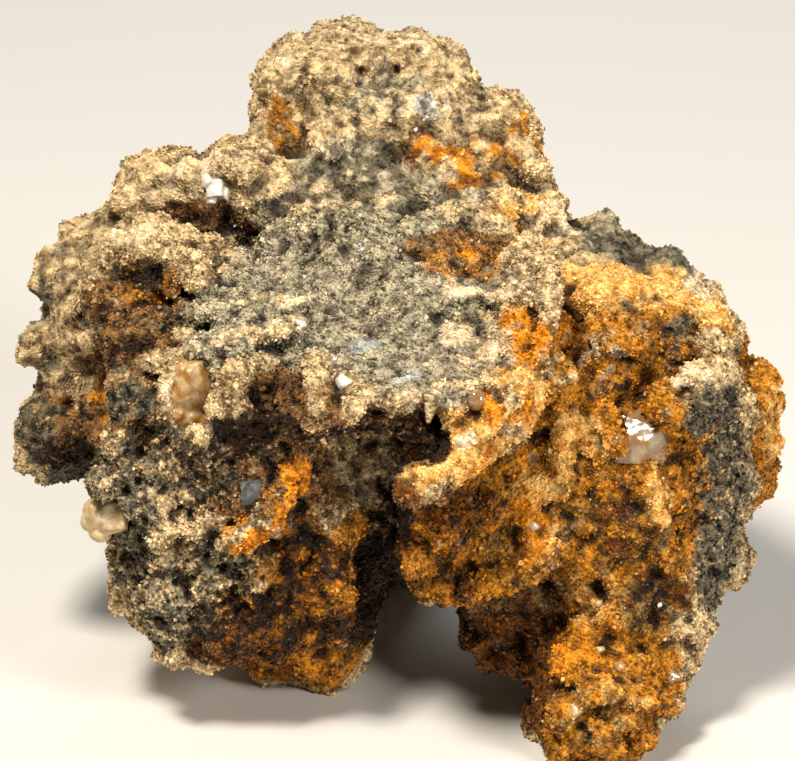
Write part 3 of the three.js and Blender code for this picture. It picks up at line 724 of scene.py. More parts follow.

# %% [markdown]
# ## Stains
# Iron turns the calcite gold, orange and rust brown; manganese turns it black; clean sand stays grey
# green. Each stain is a few soft patches at named places, and the paint breaks their edges with noise. Two
# of them are partly light: gold also stands for painted light where the lamp falls, and shade is painted
# shade.

# %% Stain patches: place or line, reach in millimetres, and amount, where 1 hides what is under it
STAINS = {
    # packed grey green sand
    "ash": [
        ((-5, -12, 77), (34, 28, 13), 1), ((0, -27, 70.5), (32, 14, 7), 1),
        ((-26, -20, 74), (14, 14, 7), 1), ((4, -38, 68.5), (15, 8, 4), 1), ((-28, -30, 72), (9, 6, 5), 1),
        ((34, -25, 67), (7, 6, 5), 0.5), ((44, 5, 75), (19, 17, 12), 1), ((-8, 9, 87), (14, 6, 8), 0.9),
        ((6, 6, 84), (16, 8, 6), 0.7), ((-34, 4, 86), (12, 10, 8), 0.4),
        ((-42, -33, 30), (14, 12, 22), 0.3), ((50, -27, 34), (9, 9, 26), 0.3),
        ((-2, 14, 98), (12, 10, 8), 0.5), ((-58, 2, 68), (9, 9, 12), 0.55),
        ((-36, 46, 62), (26, 22, 26), 0.6), ((14, 50, 78), (22, 16, 14), 0.5)],
    # brown clay in the coral's pores
    "umber": [
        ((-43, -18, 72), (13, 11, 14), 1), ((-42, -26, 68), (12, 10, 8), 1), ((-43, -32, 64), 9, 1),
        ((-34, 0, 80), (15, 8, 6), 1), ((-4, -40, 54), (34, 16, 18), 1), ((-19, -37, 66.5), (8, 8, 6), 1),
        ((-52, -14, 48), (14, 12, 14), 0.9), ((32, -26, 68), (9, 7, 7), 0.3),
        ((31, -31, 50), (9, 8, 6), 0.3), ((48, -22, 70), (10, 8, 6), 0.6),
        ((0, -20, 20), (60, 20, 24), 0.8), ((37, -32, 41), (9, 9, 11), 1),
        ((-36, -33, 54), (12, 10, 12), 0.7), ((-14, -36, 38), (10, 8, 14), 0.8),
        ((-57, -8, 47), (9, 10, 10), 0.8), ((-18, 14, 92), (6, 8, 10), 0.6),
        ((10, -7, 79), (14, 10, 5), 0.75), ((-56, -6, 62), (6, 8, 8), 0.4),
        ((42, -34, 26), (10, 9, 8), 0.8), ((54, -25, 46), (8, 12, 30), 0.6), ((-12, -39, 65.5), 8, 1),
        ((-28, -36, 50), (10, 8, 10), 0.8)],
    # ochre of the right mass, the middle lobe and the back
    "ochre": [
        ((35, -28, 50), (30, 22, 36), 1), ((12, -34, 42), (22, 16, 24), 1),
        ((32, -38, 16), (24, 18, 24), 1), ((62, -4, 45), (13, 20, 26), 1), ((22, -26, 68), (8, 14, 12), 1),
        ((-10, -32, 26), (22, 14, 24), 1), ((-20, -31, 22), (20, 14, 14), 1),
        ((-18, -20, 8), (26, 18, 12), 0.8), ((12, 10, 87), (14, 10, 10), 0.42),
        ((-19, 14, 94), (5, 8, 10), 0.4), ((21, 16, 86), (8, 8, 14), 0.6), ((-47, -8, 54), (6, 8, 10), 0.7),
        ((12, -11, 79), (15, 10, 5), 0.45), ((36, -16, 72), (20, 14, 10), 0.8),
        ((-40, -17, 76), (9, 7, 5), 0.6), ((36, 46, 46), (26, 24, 26), 0.62),
        ((-8, 54, 24), (22, 20, 18), 0.55), ((0, 54, 58), (16, 16, 12), 0.5)],
    # partly painted light: a lighter gold on the front where the lamp falls, and plain gold stain at the
    # back
    "gold": [
        ((36, -12, 75), (20, 12, 8), 1), ((50, -8, 70), (13, 12, 10), 0.8), ((10, -44, 61), (12, 8, 8), 1),
        ((4, -47, 58), 6, 0.75), ((19, -38, 67), 8, 0.9), ((42.5, -33, 46), (4.5, 6, 10), 0.7),
        ((21, -11, 79), (9, 7, 5), 0.6), ((22, 4, 80), (12, 8, 10), 0.5), ((-36, -13, 82), (8, 4, 3), 0.6),
        ((34, -42, 14), (12, 8, 10), 0.4), ((29, -33, 55), (8, 8, 10), 0.8),
        ((32, -32, 28), (9, 9, 8), 0.36), ((24, -36, 46), (9, 8, 12), 0.8), ((20, 13, 80), (7, 7, 6), 0.8),
        ((12, -10, 79.5), (13, 8, 4), 0.3), ((63, -6, 48), (8, 14, 12), 0.6),
        ((44, 44, 60), (14, 18, 12), 0.55), ((-4, 56, 62), (14, 14, 10), 0.5)],
    # brown clay over the ochre
    "clay": [
        ((34, -30, 46), (16, 14, 18), 0.33), ((30, -26, 66), 9, 0.28), ((37, -32, 40), (10, 12, 11), 0.6),
        ((22, -36, 38), (14, 10, 12), 0.42), ((30, -32, 28), (12, 10, 10), 0.2),
        ((32, -40, 12), (14, 10, 12), 0.34), ((42, -33, 27), (9, 10, 8), 0.8),
        ((-18, -32, 24), (16, 12, 14), 0.45)],
    # dark iron rust
    "rust": [
        ((6, -33, 34), 14, 0.45), ((10, -37, 46), (11, 9, 6), 0.7), ((-24, -31, 20), (18, 16, 11), 0.85),
        ((-8, -30, 18), (16, 16, 14), 0.6), ((20, -28, 12), (22, 18, 18), 0.8),
        ((43, -31, 27), (10, 12, 9), 0.5), ((24, 50, 40), (16, 16, 14), 0.45),
        ((-8, -42, 52), (16, 12, 12), 0.8), ((4, -36, 48), (10, 10, 8), 0.8),
        ((56, -16, 34), (6, 10, 12), 0.5), ((-14, -34, 35), (9, 10, 10), 0.6),
        ((37, -32, 41), (9, 12, 11), 0.55), ((3.8, 12, 89.4), (6, 7, 6), 0.6), ((1, -51, 56), 4, 0.5)],
    # bright amber
    "amber": [
        ((20.5, -25, 71), (7, 11, 8), 1), ((24, -22, 66), (6, 10, 14), 0.9), ((-16, -37, 52), (4, 6, 6), 1),
        ((-19, -38, 47), (4, 6, 6), 1), ((-24, -38, 42), (6, 6, 4.5), 0.9),
        ([(4, 13, 90), (9, 12, 88), (13, 9, 84), (17, 9, 81)], (2.8, 6, 2.8), 0.75),
        ((-34, -12.5, 81.6), (6, 4, 2.6), 0.9), ((22, -36, 44), (7, 7, 10), 0.6),
        ([(-10, -34, 34), (-16, -33, 26), (-24, -32, 20)], (3.4, 7, 3.4), 0.55), ((11, -8, 79), 3, 0.5),
        ((20.5, -28, 73.5), (6.5, 10, 6.5), 1), ((30, -40, 22), (12, 8, 8), 0.5),
        ((24, -40, 60), (5, 5, 6), 0.6), ((11, -43, 60), (9, 6, 6), 0.5), ((17, -40, 66), (8, 8, 7), 0.55)],
    # clean calcite
    "cream": [
        ((-41, -11, 83.6), (10, 5, 3.4), 1), ((-36, -37, 67), (3, 5, 8), 0.8),
        ((-12, -33, 71), (5, 5, 3), 0.5),
        ([(24.6, -12, 79.5), (24.6, -20, 79), (24.3, -26, 77)], (2.2, 3, 2.6), 0.36),
        ((47, -32, 68), (7, 6, 3), 0.6), ((32.6, -25, 67.6), (7, 7, 6), 0.42),
        ((5.4, 13.2, 97), (7, 6, 5), 0.6), ((-45, -34, 49), (10, 9, 10), 0.5),
        ((52, -6, 73), (9, 10, 6), 0.7), ((14, -30, 71.6), (8, 9, 5), 0.75), ((20.6, 13, 80), 5, 0.4),
        ((26, 7, 78), (7, 8, 6), 0.6), ((10, -25, 72), (7, 7, 3), 0.7), ((-32, 5, 90), (10, 8, 4), 0.6),
        ((-20, -22, 76.2), (10, 2, 1.4), 0.7),
        ([(-29, -31.5, 73.4), (-27, -31, 74), (-22, -28.6, 74.6), (-15.7, -23.4, 74)], (1.3, 2.2, 1.2), 1),
        ([(8, -17, 76.6), (13, -19, 77.4), (21, -23.6, 78.6)], (2, 2.6, 2), 1),
        ([(-6.5, -38.5, 68.6), (2, -39.5, 68), (9.6, -40, 69.6), (12.4, -38.5, 69.6)], (2.4, 2.6, 2), 0.7),
        ((10, -46.5, 63.5), (4, 3, 3), 0.7), ((-42, -35, 27), 6, 0.6), ((20, -12, 80), (6, 5, 2.5), 0.6),
        ((-15.7, -23.2, 73.4), (5, 2, 1.6), 1), ((-16, 5, 84), (12, 6, 4), 0.6),
        ((-19, 20, 101), (5, 7, 5), 0.6), ((0, 24, 103), (12, 6, 3), 0.5),
        ((28, -17, 74.4), (3, 4, 3), 0.5), ((57, -22, 30), (3, 8, 14), 0.4),
        ((55, -24, 42), (8, 12, 28), 0.42)],
    # grey-blue calcite
    "blue": [
        ((-5, -26.2, 70), (5, 5, 4), 0.4), ((1.2, -34.5, 68.5), (4, 4, 3), 0.5),
        ((5.4, 13.2, 96.5), (5, 4, 4), 0.5), ((-6, -9, 79), 3, 0.4), ((-25, -29, 72), (6, 4, 3), 0.35)],
    # a film of manganese black
    "lace": [
        ((54, -24, 46), (8, 12, 28), 0.64), ((-43, -33, 65), (8, 9, 7), 0.6),
        ((-48, -30, 52), (8, 9, 10), 0.65), ((50, -33, 62), 8, 0.95), ((-46, -33, 42), (12, 12, 24), 0.65),
        ((-60, -6, 46), (8, 10, 10), 0.6), ((-38, -34, 26), (14, 12, 14), 0.58),
        ((-33, -34, 54), (13, 9, 12), 0.5), ((-30, -35, 34), (10, 8, 10), 0.55),
        ((-22, 2, 82), (6, 5, 4), 0.55), ((-12, -6, 80), (9, 4, 3), 0.5), ((46, -20, 71), (4, 4, 3), 0.7),
        ((53, -25, 32), (8, 12, 16), 0.82), ((-8, -3, 82), (10, 3, 3), 0.45), ((-38, -22, 72), 6, 0.4),
        ((34, -25, 66), (7, 8, 7), 0.36), ((-2, 16, 94), (26, 14, 10), 0.3),
        ((-56, 0, 62), (12, 12, 18), 0.36), ((-46, 44, 50), (18, 22, 22), 0.45),
        ((10, 54, 44), (18, 16, 16), 0.42), ((30, 46, 26), (22, 20, 12), 0.5),
        ((44, 4, 75), (18, 15, 9), 0.8), ((-10, 10, 86), (11, 7, 6), 0.74),
        ((-54, -10, 34), (8, 14, 14), 0.8)],
    # painted shade: darkness put into the deepest recesses and under the lump, where shadow falls
    "shade": [
        ((-21, -42, 62), (8, 8, 6), 1),
        ([(-26, -40, 60), (-17, -42, 59), (-6, -42, 59), (5, -43, 61)], (6, 8, 6), 0.9),
        ((-6, -43, 60), (16, 10, 6), 1), ((0, -42, 57), (7, 9, 9), 1), ((-40, -15, 77), (5, 4, 3), 0.9),
        ((-28, -36, 57), (8, 6, 6), 0.6), ((-33, -1, 80), (13, 6, 4), 1), ((47, -23, 70), (6, 4, 3), 0.8),
        ((38, -27, 63), (5, 4, 3), 0.9), ((9, -40, 54), (9, 6, 3), 0.8), ((-1, -34, 46), (5, 14, 14), 0.9),
        ((0, -18, 24), (18, 20, 26), 1), ((-54, -12, 42), (12, 10, 6), 0.8),
        ((0, 20, 16), (50, 30, 18), 0.6), ((14, -28, 24), (12, 6, 4), 0.6), ((1, -41, 63), (6, 4, 4), 0.8),
        ((-20, -37, 67), 4, 0.6), ((-41, -26, 67.5), (9, 9, 7), 0.62), ((-22, -34, 24), (14, 12, 14), 0.56),
        ((-13, -34, 36), (9, 8, 11), 0.58), ((-12, -32, 20), (10, 8, 8), 0.42),
        ((42, -33, 27), (6, 7, 6), 0.5), ((-50, -33, 38), (6, 10, 12), 0.5)],
}
note_patches(rock.data, REGIONS)
note_patches(rock.data, STAINS)
print("stain patches:", {name: len(spots) for name, spots in STAINS.items()})


# %% Hollows and tops
def note_hollows(mesh):
    """Height of each point over the smoothed skin, in millimetres: below 0 in a pit, above 0 on a knob."""
    points = points_of(mesh)
    normals = smoothed(mesh, normals_of(mesh), 4)
    for name, rounds in (("height_fine", 14), ("height_broad", 150)):
        over = ((points - smoothed(mesh, points, rounds)) * normals).sum(1)
        note(mesh, name, over)
        print(name, "5%, 50%, 95%:", np.percentile(over, (5, 50, 95)).round(2), "mm")


note_hollows(rock.data)

# %% [markdown]
# ## The paint of the stone
# Iron-stained calcite is waxy and dull. Its colour is mixed in the order in which it came about: tan
# limestone first, then sand and clay, then the iron stains, clean calcite over them, and black; painted
# shade in the deepest recesses comes last. In each stain the grains run from a dark to a pale colour. Pits
# and hollows are darkened with dark clay and painted shade, and tops are painted a little paler, as painted
# light.

# %% The colours of each stain: its darkest grains, then its palest
PIGMENTS = {
    # gold is partly painted light, a lighter ochre where the lamp falls, and shade is painted shade for the
    # deepest recesses
    "ash": ("#454030", "#CABD9E"), "umber": ("#24160A", "#9C7242"), "ochre": ("#4E2C06", "#D28C20"),
    "gold": ("#B47418", "#FAD284"), "clay": ("#2C1C0A", "#A2803E"), "rust": ("#180B02", "#8C5210"),
    "amber": ("#8C4C04", "#F4A01C"), "cream": ("#B4966A", "#F6E4C2"), "blue": ("#84877F", "#D2D6D6"),
    "lace": ("#040303", "#847A62"), "shade": ("#050301", "#3C220C")}
LIMESTONE = ("#5E4629", "#E6CC9C")
# painted shade, with dark clay: pits, hollows and the gaps between heaps of grains darken towards this
# colour
PIT_SHADE_AND_CLAY = "#150A04"
# painted highlight: a top is painted this many times brighter, as where the light falls
TOP_HIGHLIGHT = (1.4, 1.37, 1.3, 1)
# calcite's index is 1.66 or 1.49 by the light's direction, so this lies between
CALCITE_IOR = 1.6


# %% Stone material
def stone(name, lift, gloss, tone=None):
    """Iron-stained coral calcite. lift is how much paler its tops are painted, as painted light; gloss is
    its roughness, and tone names the number from 0 to 1 that each loose grain has for itself, on a piece
    that is made of grains."""
    paint = bpy.data.materials.new(name)
    paint.use_nodes = True
    tree = paint.node_tree
    surface = tree.nodes["Principled BSDF"]
    place = add(tree, "ShaderNodeTexCoord").outputs["Object"]
    stored = {}
    for kind in ("porous", "worn", "height_fine", "height_broad", *PIGMENTS):
        stored[kind] = add(tree, "ShaderNodeAttribute", attribute_name=kind).outputs["Fac"]
    # noise 3 mm wide makes the stains' edges ragged, and specks of 1 mm break them where pores are open
    ragged = add(tree, "ShaderNodeTexNoise", {"Vector": place, "Scale": 1000 / 3.2, "Detail": 5.0})
    edge = add(tree, "ShaderNodeMath", {0: ragged, 1: 1.8, 2: -0.9}, operation="MULTIPLY_ADD")
    speck = add(tree, "ShaderNodeTexNoise", {"Vector": place, "Scale": 1000 / 1.1, "Detail": 1.0})
    speck = add(tree, "ShaderNodeMath", {0: speck, 1: 3.2, 2: -1.6}, operation="MULTIPLY_ADD")
    speck = add(tree, "ShaderNodeMath", {0: speck, 1: stored["porous"], 2: 1.0}, operation="MULTIPLY_ADD")
    # each grain is darker or paler by its own number, or on the skin by noise as wide as a grain
    if tone:
        grain = add(tree, "ShaderNodeAttribute", attribute_name=tone).outputs["Fac"]
    else:
        grain = add(tree, "ShaderNodeTexNoise", {"Vector": place, "Scale": 1000 / 0.6, "Detail": 2.0})
    mottle = add(tree, "ShaderNodeTexNoise", {"Vector": place, "Scale": 1000 / 1.8, "Detail": 3.0,
                                              "Roughness": 0.6})
    mottle = add(tree, "ShaderNodeMath", {0: mottle, 1: 1.4, 2: -0.2}, operation="MULTIPLY_ADD")
    # worn stone differs less from grain to grain, and porous stone more
    differ = add(tree, "ShaderNodeMath", {0: stored["worn"], 1: -0.42, 2: 0.5}, operation="MULTIPLY_ADD")
    differ = add(tree, "ShaderNodeMath", {0: stored["porous"], 1: 0.35, 2: differ},
                 operation="MULTIPLY_ADD")
    offset = add(tree, "ShaderNodeMath", {0: grain, 1: 0.5}, operation="SUBTRACT")
    pale = add(tree, "ShaderNodeMath", {0: offset, 1: differ, 2: mottle}, operation="MULTIPLY_ADD")
    pale = add(tree, "ShaderNodeMapRange", {"Value": pale, 1: 0.15, 2: 0.85, 3: 0.0, 4: 1.0},
               interpolation_type="SMOOTHSTEP")
    body = add(tree, "ShaderNodeMix", {"Factor": pale, 6: colour(LIMESTONE[0]), 7: colour(LIMESTONE[1])},
               data_type="RGBA").outputs[2]
    for stain, (darkest, palest) in PIGMENTS.items():
        own = add(tree, "ShaderNodeMix", {"Factor": pale, 6: colour(darkest), 7: colour(palest)},
                  data_type="RGBA").outputs[2]
        amount = add(tree, "ShaderNodeMath", {0: stored[stain], 1: speck, 2: edge},
                     operation="MULTIPLY_ADD")
        share = add(tree, "ShaderNodeMapRange", {"Value": amount, 1: 0.25, 2: 0.65, 3: 0.0, 4: 1.0},
                    interpolation_type="SMOOTHSTEP")
        body = add(tree, "ShaderNodeMix", {"Factor": share, 6: body, 7: own}, data_type="RGBA").outputs[2]
    # painted shade with dark clay: the stone darkens between heaps of grains, in small pits and in hollows:
    # each depth where it starts to show, the depth where it shows most, and how much of the stone it then
    # hides
    if tone:
        heap = add(tree, "ShaderNodeAttribute", attribute_name="heap").outputs["Fac"]
    else:
        heap = crumbs(tree, place)
    deep = add(tree, "ShaderNodeMath", {0: stored["worn"], 1: -0.4, 2: 0.9}, operation="MULTIPLY_ADD")
    for depth, start, full, most in ((heap, 0.35, 0.0, 0.5), (stored["height_fine"], -0.05, -0.45, deep),
                                     (stored["height_broad"], -0.8, -2.6, 0.45)):
        share = add(tree, "ShaderNodeMapRange", {"Value": depth, 1: start, 2: full, 3: 0.0, 4: most},
                    interpolation_type="SMOOTHSTEP")
        body = add(tree, "ShaderNodeMix", {"Factor": share, 6: body, 7: colour(PIT_SHADE_AND_CLAY)},
                   data_type="RGBA").outputs[2]
    # painted highlight: tops are painted paler, as where the light falls
    high = add(tree, "ShaderNodeMath", {0: heap, 1: 0.5, 2: stored["height_fine"]},
               operation="MULTIPLY_ADD")
    share = add(tree, "ShaderNodeMapRange", {"Value": high, 1: 0.2, 2: 0.9, 3: 0.0, 4: lift},
                interpolation_type="SMOOTHSTEP")
    top = add(tree, "ShaderNodeMix", {"Factor": share, 6: body, 7: TOP_HIGHLIGHT}, data_type="RGBA",
              blend_type="MULTIPLY")
    tree.links.new(top.outputs[2], surface.inputs["Base Color"])
    # pale grains are glossier, and worn ones are dull
    rough = add(tree, "ShaderNodeMapRange", {"Value": grain, 1: 0.3, 2: 0.7, 3: gloss + 0.15,
                                             4: gloss - 0.1})
    rough = add(tree, "ShaderNodeMath", {0: stored["worn"], 1: 0.3, 2: rough}, operation="MULTIPLY_ADD",
                use_clamp=True)
    tree.links.new(rough.outputs[0], surface.inputs["Roughness"])
    surface.inputs["IOR"].default_value = CALCITE_IOR
    surface.inputs["Specular IOR Level"].default_value = 0.2
    # the skin looks sugary too where it shows between the crystals
    if not tone:
        bumps = add(tree, "ShaderNodeTexVoronoi", {"Vector": place, "Scale": 1000 / 0.55})
        bump = add(tree, "ShaderNodeBump", {"Strength": 0.9, "Distance": 0.35 * MM, "Height": bumps},
                   invert=True)
        tree.links.new(bump.outputs[0], surface.inputs["Normal"])
    return paint


# coral limestone stained by iron: waxy and dull, with dark clay and painted shade in its pits, and painted
# highlights on its tops
rock.data.materials.append(stone("iron_stained_coral_limestone", 0.5, 0.65))
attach(rock, "root")
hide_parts("coral_rock")

# %% [markdown]
# ## The druzy crust
# A druse is a carpet of small crystals. Four crystal shapes are modelled once, a cleavage rhomb, a stubby
# dog-tooth, a blunt one and a broken chip, and scattered over the skin so that they almost touch. The
# scatter is made real mesh, in pieces, so that each stays light.

# %% Four crystal shapes
crystal_shelf = bpy.data.collections.new("crystal_shelf")
bpy.context.scene.collection.children.link(crystal_shelf)


def shelve(name, stretch, lean):
    """Turn the active primitive into a crystal 1 mm wide: lean it, stretch it and put it on the shelf."""
    made = bpy.context.object
    made.name = name
    bpy.ops.object.mode_set(mode="EDIT")
    bpy.ops.mesh.select_all(action="SELECT")
    bpy.ops.transform.rotate(value=lean, orient_axis="X", center_override=(0, 0, 0))
    bpy.ops.transform.rotate(value=lean, orient_axis="Y", center_override=(0, 0, 0))
    bpy.ops.transform.resize(value=stretch, center_override=(0, 0, 0))
    bpy.ops.object.mode_set(mode="OBJECT")
    for holder in made.users_collection:
        holder.objects.unlink(made)
    crystal_shelf.objects.link(made)
    made.hide_render = True


def double_cone(sides, radius, height):
    """A cone whose base is drawn out to a second point."""
    bpy.ops.mesh.primitive_cone_add(vertices=sides, radius1=radius * MM, radius2=0, depth=height * MM)
    made = bpy.context.object
    bpy.ops.object.mode_set(mode="EDIT")
    bpy.ops.mesh.select_all(action="DESELECT")
    bpy.ops.object.mode_set(mode="OBJECT")
    for face in made.data.polygons:
        face.select = face.normal.z < -0.9
    bpy.ops.object.mode_set(mode="EDIT")
    bpy.ops.mesh.poke(offset=height * MM)
    bpy.ops.object.mode_set(mode="OBJECT")


only(rock)
bpy.ops.mesh.primitive_cube_add(size=0.78 * MM)
shelve("rhomb", (1.0, 0.95, 1.25), 0.7)
double_cone(4, 0.55, 0.5)
shelve("blunt", (1.0, 0.9, 1.0), 0.3)
double_cone(3, 0.55, 0.65)
shelve("tooth", (1.0, 1.0, 1.0), 0.0)
bpy.ops.mesh.primitive_cone_add(vertices=3, radius1=0.62 * MM, radius2=0, depth=0.8 * MM)
shelve("chip", (1.0, 1.0, 1.0), 0.4)

# %% Zones of the crust, each with the least gap between its crystals' centres, in millimetres
ZONES = {"druzy_left": 0.38, "druzy_middle": 0.36, "druzy_right": 0.39, "druzy_right_foot": 0.39,
         "druzy_plateau": 0.32, "druzy_crown": 0.38, "druzy_back": 0.75, "druzy_under": 0.9}


def note_zones(mesh):
    """Number each point by the zone it is in, in the order of ZONES."""
    x, y, z = points_of(mesh).T
    down = normals_of(mesh)[:, 2] < -0.5
    top = (z > 68) & (x < 27)
    crown = top & ((y > -1) | (x < -36))
    # a point is in the first zone that fits: under, back, crown, plateau, left, middle, right foot, or right
    zones = np.select([down & (y > -24), y > 16 + 10 * (z > 80), crown, top, x < -14, x < 16, z < 40],
                      [7, 6, 5, 4, 0, 1, 3], 2)
    note(mesh, "zone", zones)


note_zones(rock.data)

# %% The scatter
# how far a heap lifts its grains, and how deep they sink where the stone is worn, in millimetres
HEAP_RISE, WORN_DEPTH = 0.25, 0.22
# grains tried on a square metre: far more than the gap between them lets stay
TRIED_GRAINS = 5e6


def crust_tree(zone, gap):
    """Crystals on the faces of one zone, outside the pores, as real mesh."""
    tree, start, end = new_tree("crust_%d" % zone)
    of_zone, porous, sandy, worn = [
        add(tree, "GeometryNodeInputNamedAttribute", {"Name": name}, data_type="FLOAT")
        for name in ("zone", "porous", "sandy", "worn")]
    place = add(tree, "GeometryNodeInputPosition").outputs[0]
    here = add(tree, "FunctionNodeCompare", {0: of_zone, 1: float(zone), 12: 0.5}, operation="EQUAL")
    spread = add(tree, "GeometryNodeDistributePointsOnFaces", {
        "Mesh": start, "Selection": here, "Seed": zone + 1, "Distance Min": gap * MM,
        "Density Max": TRIED_GRAINS}, distribute_method="POISSON")
    # each point stores how high its heap is, then rises with it, and sinks where the stone is worn
    heap = crumbs(tree, place)
    noted = add(tree, "GeometryNodeStoreNamedAttribute", {
        "Geometry": spread, "Name": "heap", "Value": heap}, data_type="FLOAT", domain="POINT")
    sunk = add(tree, "ShaderNodeMath", {0: worn, 1: -WORN_DEPTH * MM}, operation="MULTIPLY")
    out = add(tree, "ShaderNodeMath", {0: heap, 1: HEAP_RISE * MM, 2: sunk}, operation="MULTIPLY_ADD")
    away = add(tree, "ShaderNodeVectorMath", {0: spread.outputs["Normal"], 3: out}, operation="SCALE")
    raised = add(tree, "GeometryNodeSetPosition", {"Geometry": noted, "Offset": away})
    # a random turn, and a size from 0.36 to 0.96 of the model's: few are large, and those on sand are finer
    turn = add(tree, "FunctionNodeRandomValue", {0: (0.0,) * 3, 1: (6.3,) * 3, "Seed": 11},
               data_type="FLOAT_VECTOR")
    draw = add(tree, "FunctionNodeRandomValue", {2: 0.0, 3: 1.0, "Seed": 12}, data_type="FLOAT").outputs[1]
    few = add(tree, "ShaderNodeMath", {0: draw, 1: 4.0}, operation="POWER")
    size = add(tree, "ShaderNodeMath", {0: few, 1: 0.6, 2: 0.36}, operation="MULTIPLY_ADD")
    fine = add(tree, "ShaderNodeMath", {0: sandy, 1: -0.25, 2: 1.0}, operation="MULTIPLY_ADD")
    size = add(tree, "ShaderNodeMath", {0: size, 1: fine}, operation="MULTIPLY")
    pits = crust_pores(tree, place, porous, sandy)
    full = add(tree, "ShaderNodeMath", {0: pits, 1: 0.3}, operation="LESS_THAN")
    kinds = add(tree, "GeometryNodeCollectionInfo", {0: crystal_shelf, 1: True, 2: True})
    grains = add(tree, "GeometryNodeInstanceOnPoints", {
        "Points": raised, "Selection": full, "Instance": kinds, "Pick Instance": True, "Rotation": turn,
        "Scale": size})
    tone = add(tree, "FunctionNodeRandomValue", {2: 0.0, 3: 1.0, "Seed": 13}, data_type="FLOAT").outputs[1]
    toned = add(tree, "GeometryNodeStoreNamedAttribute", {
        "Geometry": grains, "Name": "tone", "Value": tone}, data_type="FLOAT", domain="INSTANCE")
    real = add(tree, "GeometryNodeRealizeInstances", {0: toned})
    tree.links.new(real.outputs[0], end.inputs[0])
    return tree


# %% One piece of crust for each zone
# the same stains on crystals: each has its own tone and glossier faces, so the crust sparkles
crust_paint = stone("druzy_calcite_crust", 0.6, 0.45, "tone")
crust_count = 0
for zone, (name, gap) in enumerate(ZONES.items()):
    crust = bpy.data.objects.new(name, rock.data.copy())
    bpy.context.collection.objects.link(crust)
    crust.data.materials.clear()
    dress(crust, crust_tree(zone, gap))
    keep_inside(crust.data, 0.0)
    crust.data.materials.clear()
    crust.data.materials.append(crust_paint)
    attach(crust, "root")
    crust_count += triangles(crust)
    print(name, triangles(crust), "triangles")
print("the whole crust:", crust_count, "triangles")
for made in list(crystal_shelf.objects):
    bpy.data.objects.remove(made)

# %% [markdown]
# ## The larger crystals
# Calcite splits along three slanting planes. Each block starts as a cube, is turned, and is cut by planes,
# some of them turned so that they mirror the lamp. Blocks that grew together are joined and smeared by a
# fine net, and a little noise leaves the faces uneven, as on a real broken crystal. Worn masses start from
# stretched balls instead.

# %% Blocks and balls of calcite
def block(place, size, turn, cuts):
    """A cube with its centre at the place, stretched to size, turned, then cut. Each cut is a direction and
    how far out it passes. Lengths are in millimetres."""
    only(rock)
    centre = Vector(place) * MM
    bpy.ops.mesh.primitive_cube_add(size=MM, location=centre)
    made = bpy.context.object
    bpy.ops.object.mode_set(mode="EDIT")
    bpy.ops.mesh.select_all(action="SELECT")
    bpy.ops.transform.resize(value=size, center_override=centre)
    for axis, angle in zip("XYZ", turn):
        bpy.ops.transform.rotate(value=angle, orient_axis=axis, center_override=centre)
    for way, far in cuts:
        way = Vector(way).normalized()
        bpy.ops.mesh.select_all(action="SELECT")
        bpy.ops.mesh.bisect(plane_co=centre + way * far * MM, plane_no=way, clear_outer=True,
                            use_fill=True)
    bpy.ops.object.mode_set(mode="OBJECT")
    return made


def ball(place, half, turn=(0, 0, 0)):
    """A stretched ball with these half widths in millimetres."""
    only(rock)
    bpy.ops.mesh.primitive_ico_sphere_add(subdivisions=3, radius=MM, location=Vector(place) * MM,
                                          rotation=turn, scale=half)
    return bpy.context.object


# %% Grown pieces
def uneven(tree):
    """Low waves and small dents, as on a broken face."""
    return heaped(tree, (lumps(tree, 2.4, 0.5), 0.4, None), (lumps(tree, 0.8, 0.5), 0.15, None))


uneven_faces = relief_tree("uneven_faces", uneven)


def grown(name, parts, paint, replaced=None, cell=0.25):
    """Join the parts to one crystal, smear them together, and make it a finished piece."""
    only(*parts)
    if len(parts) > 1:
        bpy.ops.object.join()
    bpy.ops.object.transform_apply(location=True, rotation=True, scale=True)
    made = bpy.context.object
    made.name = name
    remesh(made, cell)
    dress(made, uneven_faces)
    place_points(made.data, smoothed(made.data, points_of(made.data), 4))
    keep_inside(made.data, 0.0)
    made.data.materials.clear()
    made.data.materials.append(paint)
    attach(made, "root")
    if replaced:
        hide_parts(replaced)
    print(name, triangles(made), "triangles")


# %% [markdown]
# ## The paint of the crystals
# Calcite is clear when pure: it bends light with an index of about 1.6, lets most of it through and takes
# a little of the blue. Iron makes it honey, tiny bubbles make white veils, and clay makes it grey.

# %% Calcite material
def calcite(name, body, veil, clear, rough, inside, density):
    """Calcite with a body colour, milky veils about 2 mm wide, the share of light it lets through, its
    roughness, and the colour and density of what light meets inside."""
    paint = bpy.data.materials.new(name)
    paint.use_nodes = True
    tree = paint.node_tree
    surface = tree.nodes["Principled BSDF"]
    place = add(tree, "ShaderNodeTexCoord").outputs["Object"]
    cloud = add(tree, "ShaderNodeTexNoise", {"Vector": place, "Scale": 1000 / 1.8, "Detail": 5.0,
                                             "Roughness": 0.65})
    share = add(tree, "ShaderNodeMapRange", {"Value": cloud, 1: 0.34, 2: 0.7},
                interpolation_type="SMOOTHSTEP")
    mixed = add(tree, "ShaderNodeMix", {"Factor": share, 6: colour(body), 7: colour(veil)},
                data_type="RGBA")
    tree.links.new(mixed.outputs[2], surface.inputs["Base Color"])
    surface.inputs["Transmission Weight"].default_value = clear
    surface.inputs["Roughness"].default_value = rough
    surface.inputs["IOR"].default_value = CALCITE_IOR
    drink = add(tree, "ShaderNodeVolumeAbsorption", {"Color": colour(inside), "Density": density})
    tree.links.new(drink.outputs[0], tree.nodes["Material Output"].inputs["Volume"])
    return paint


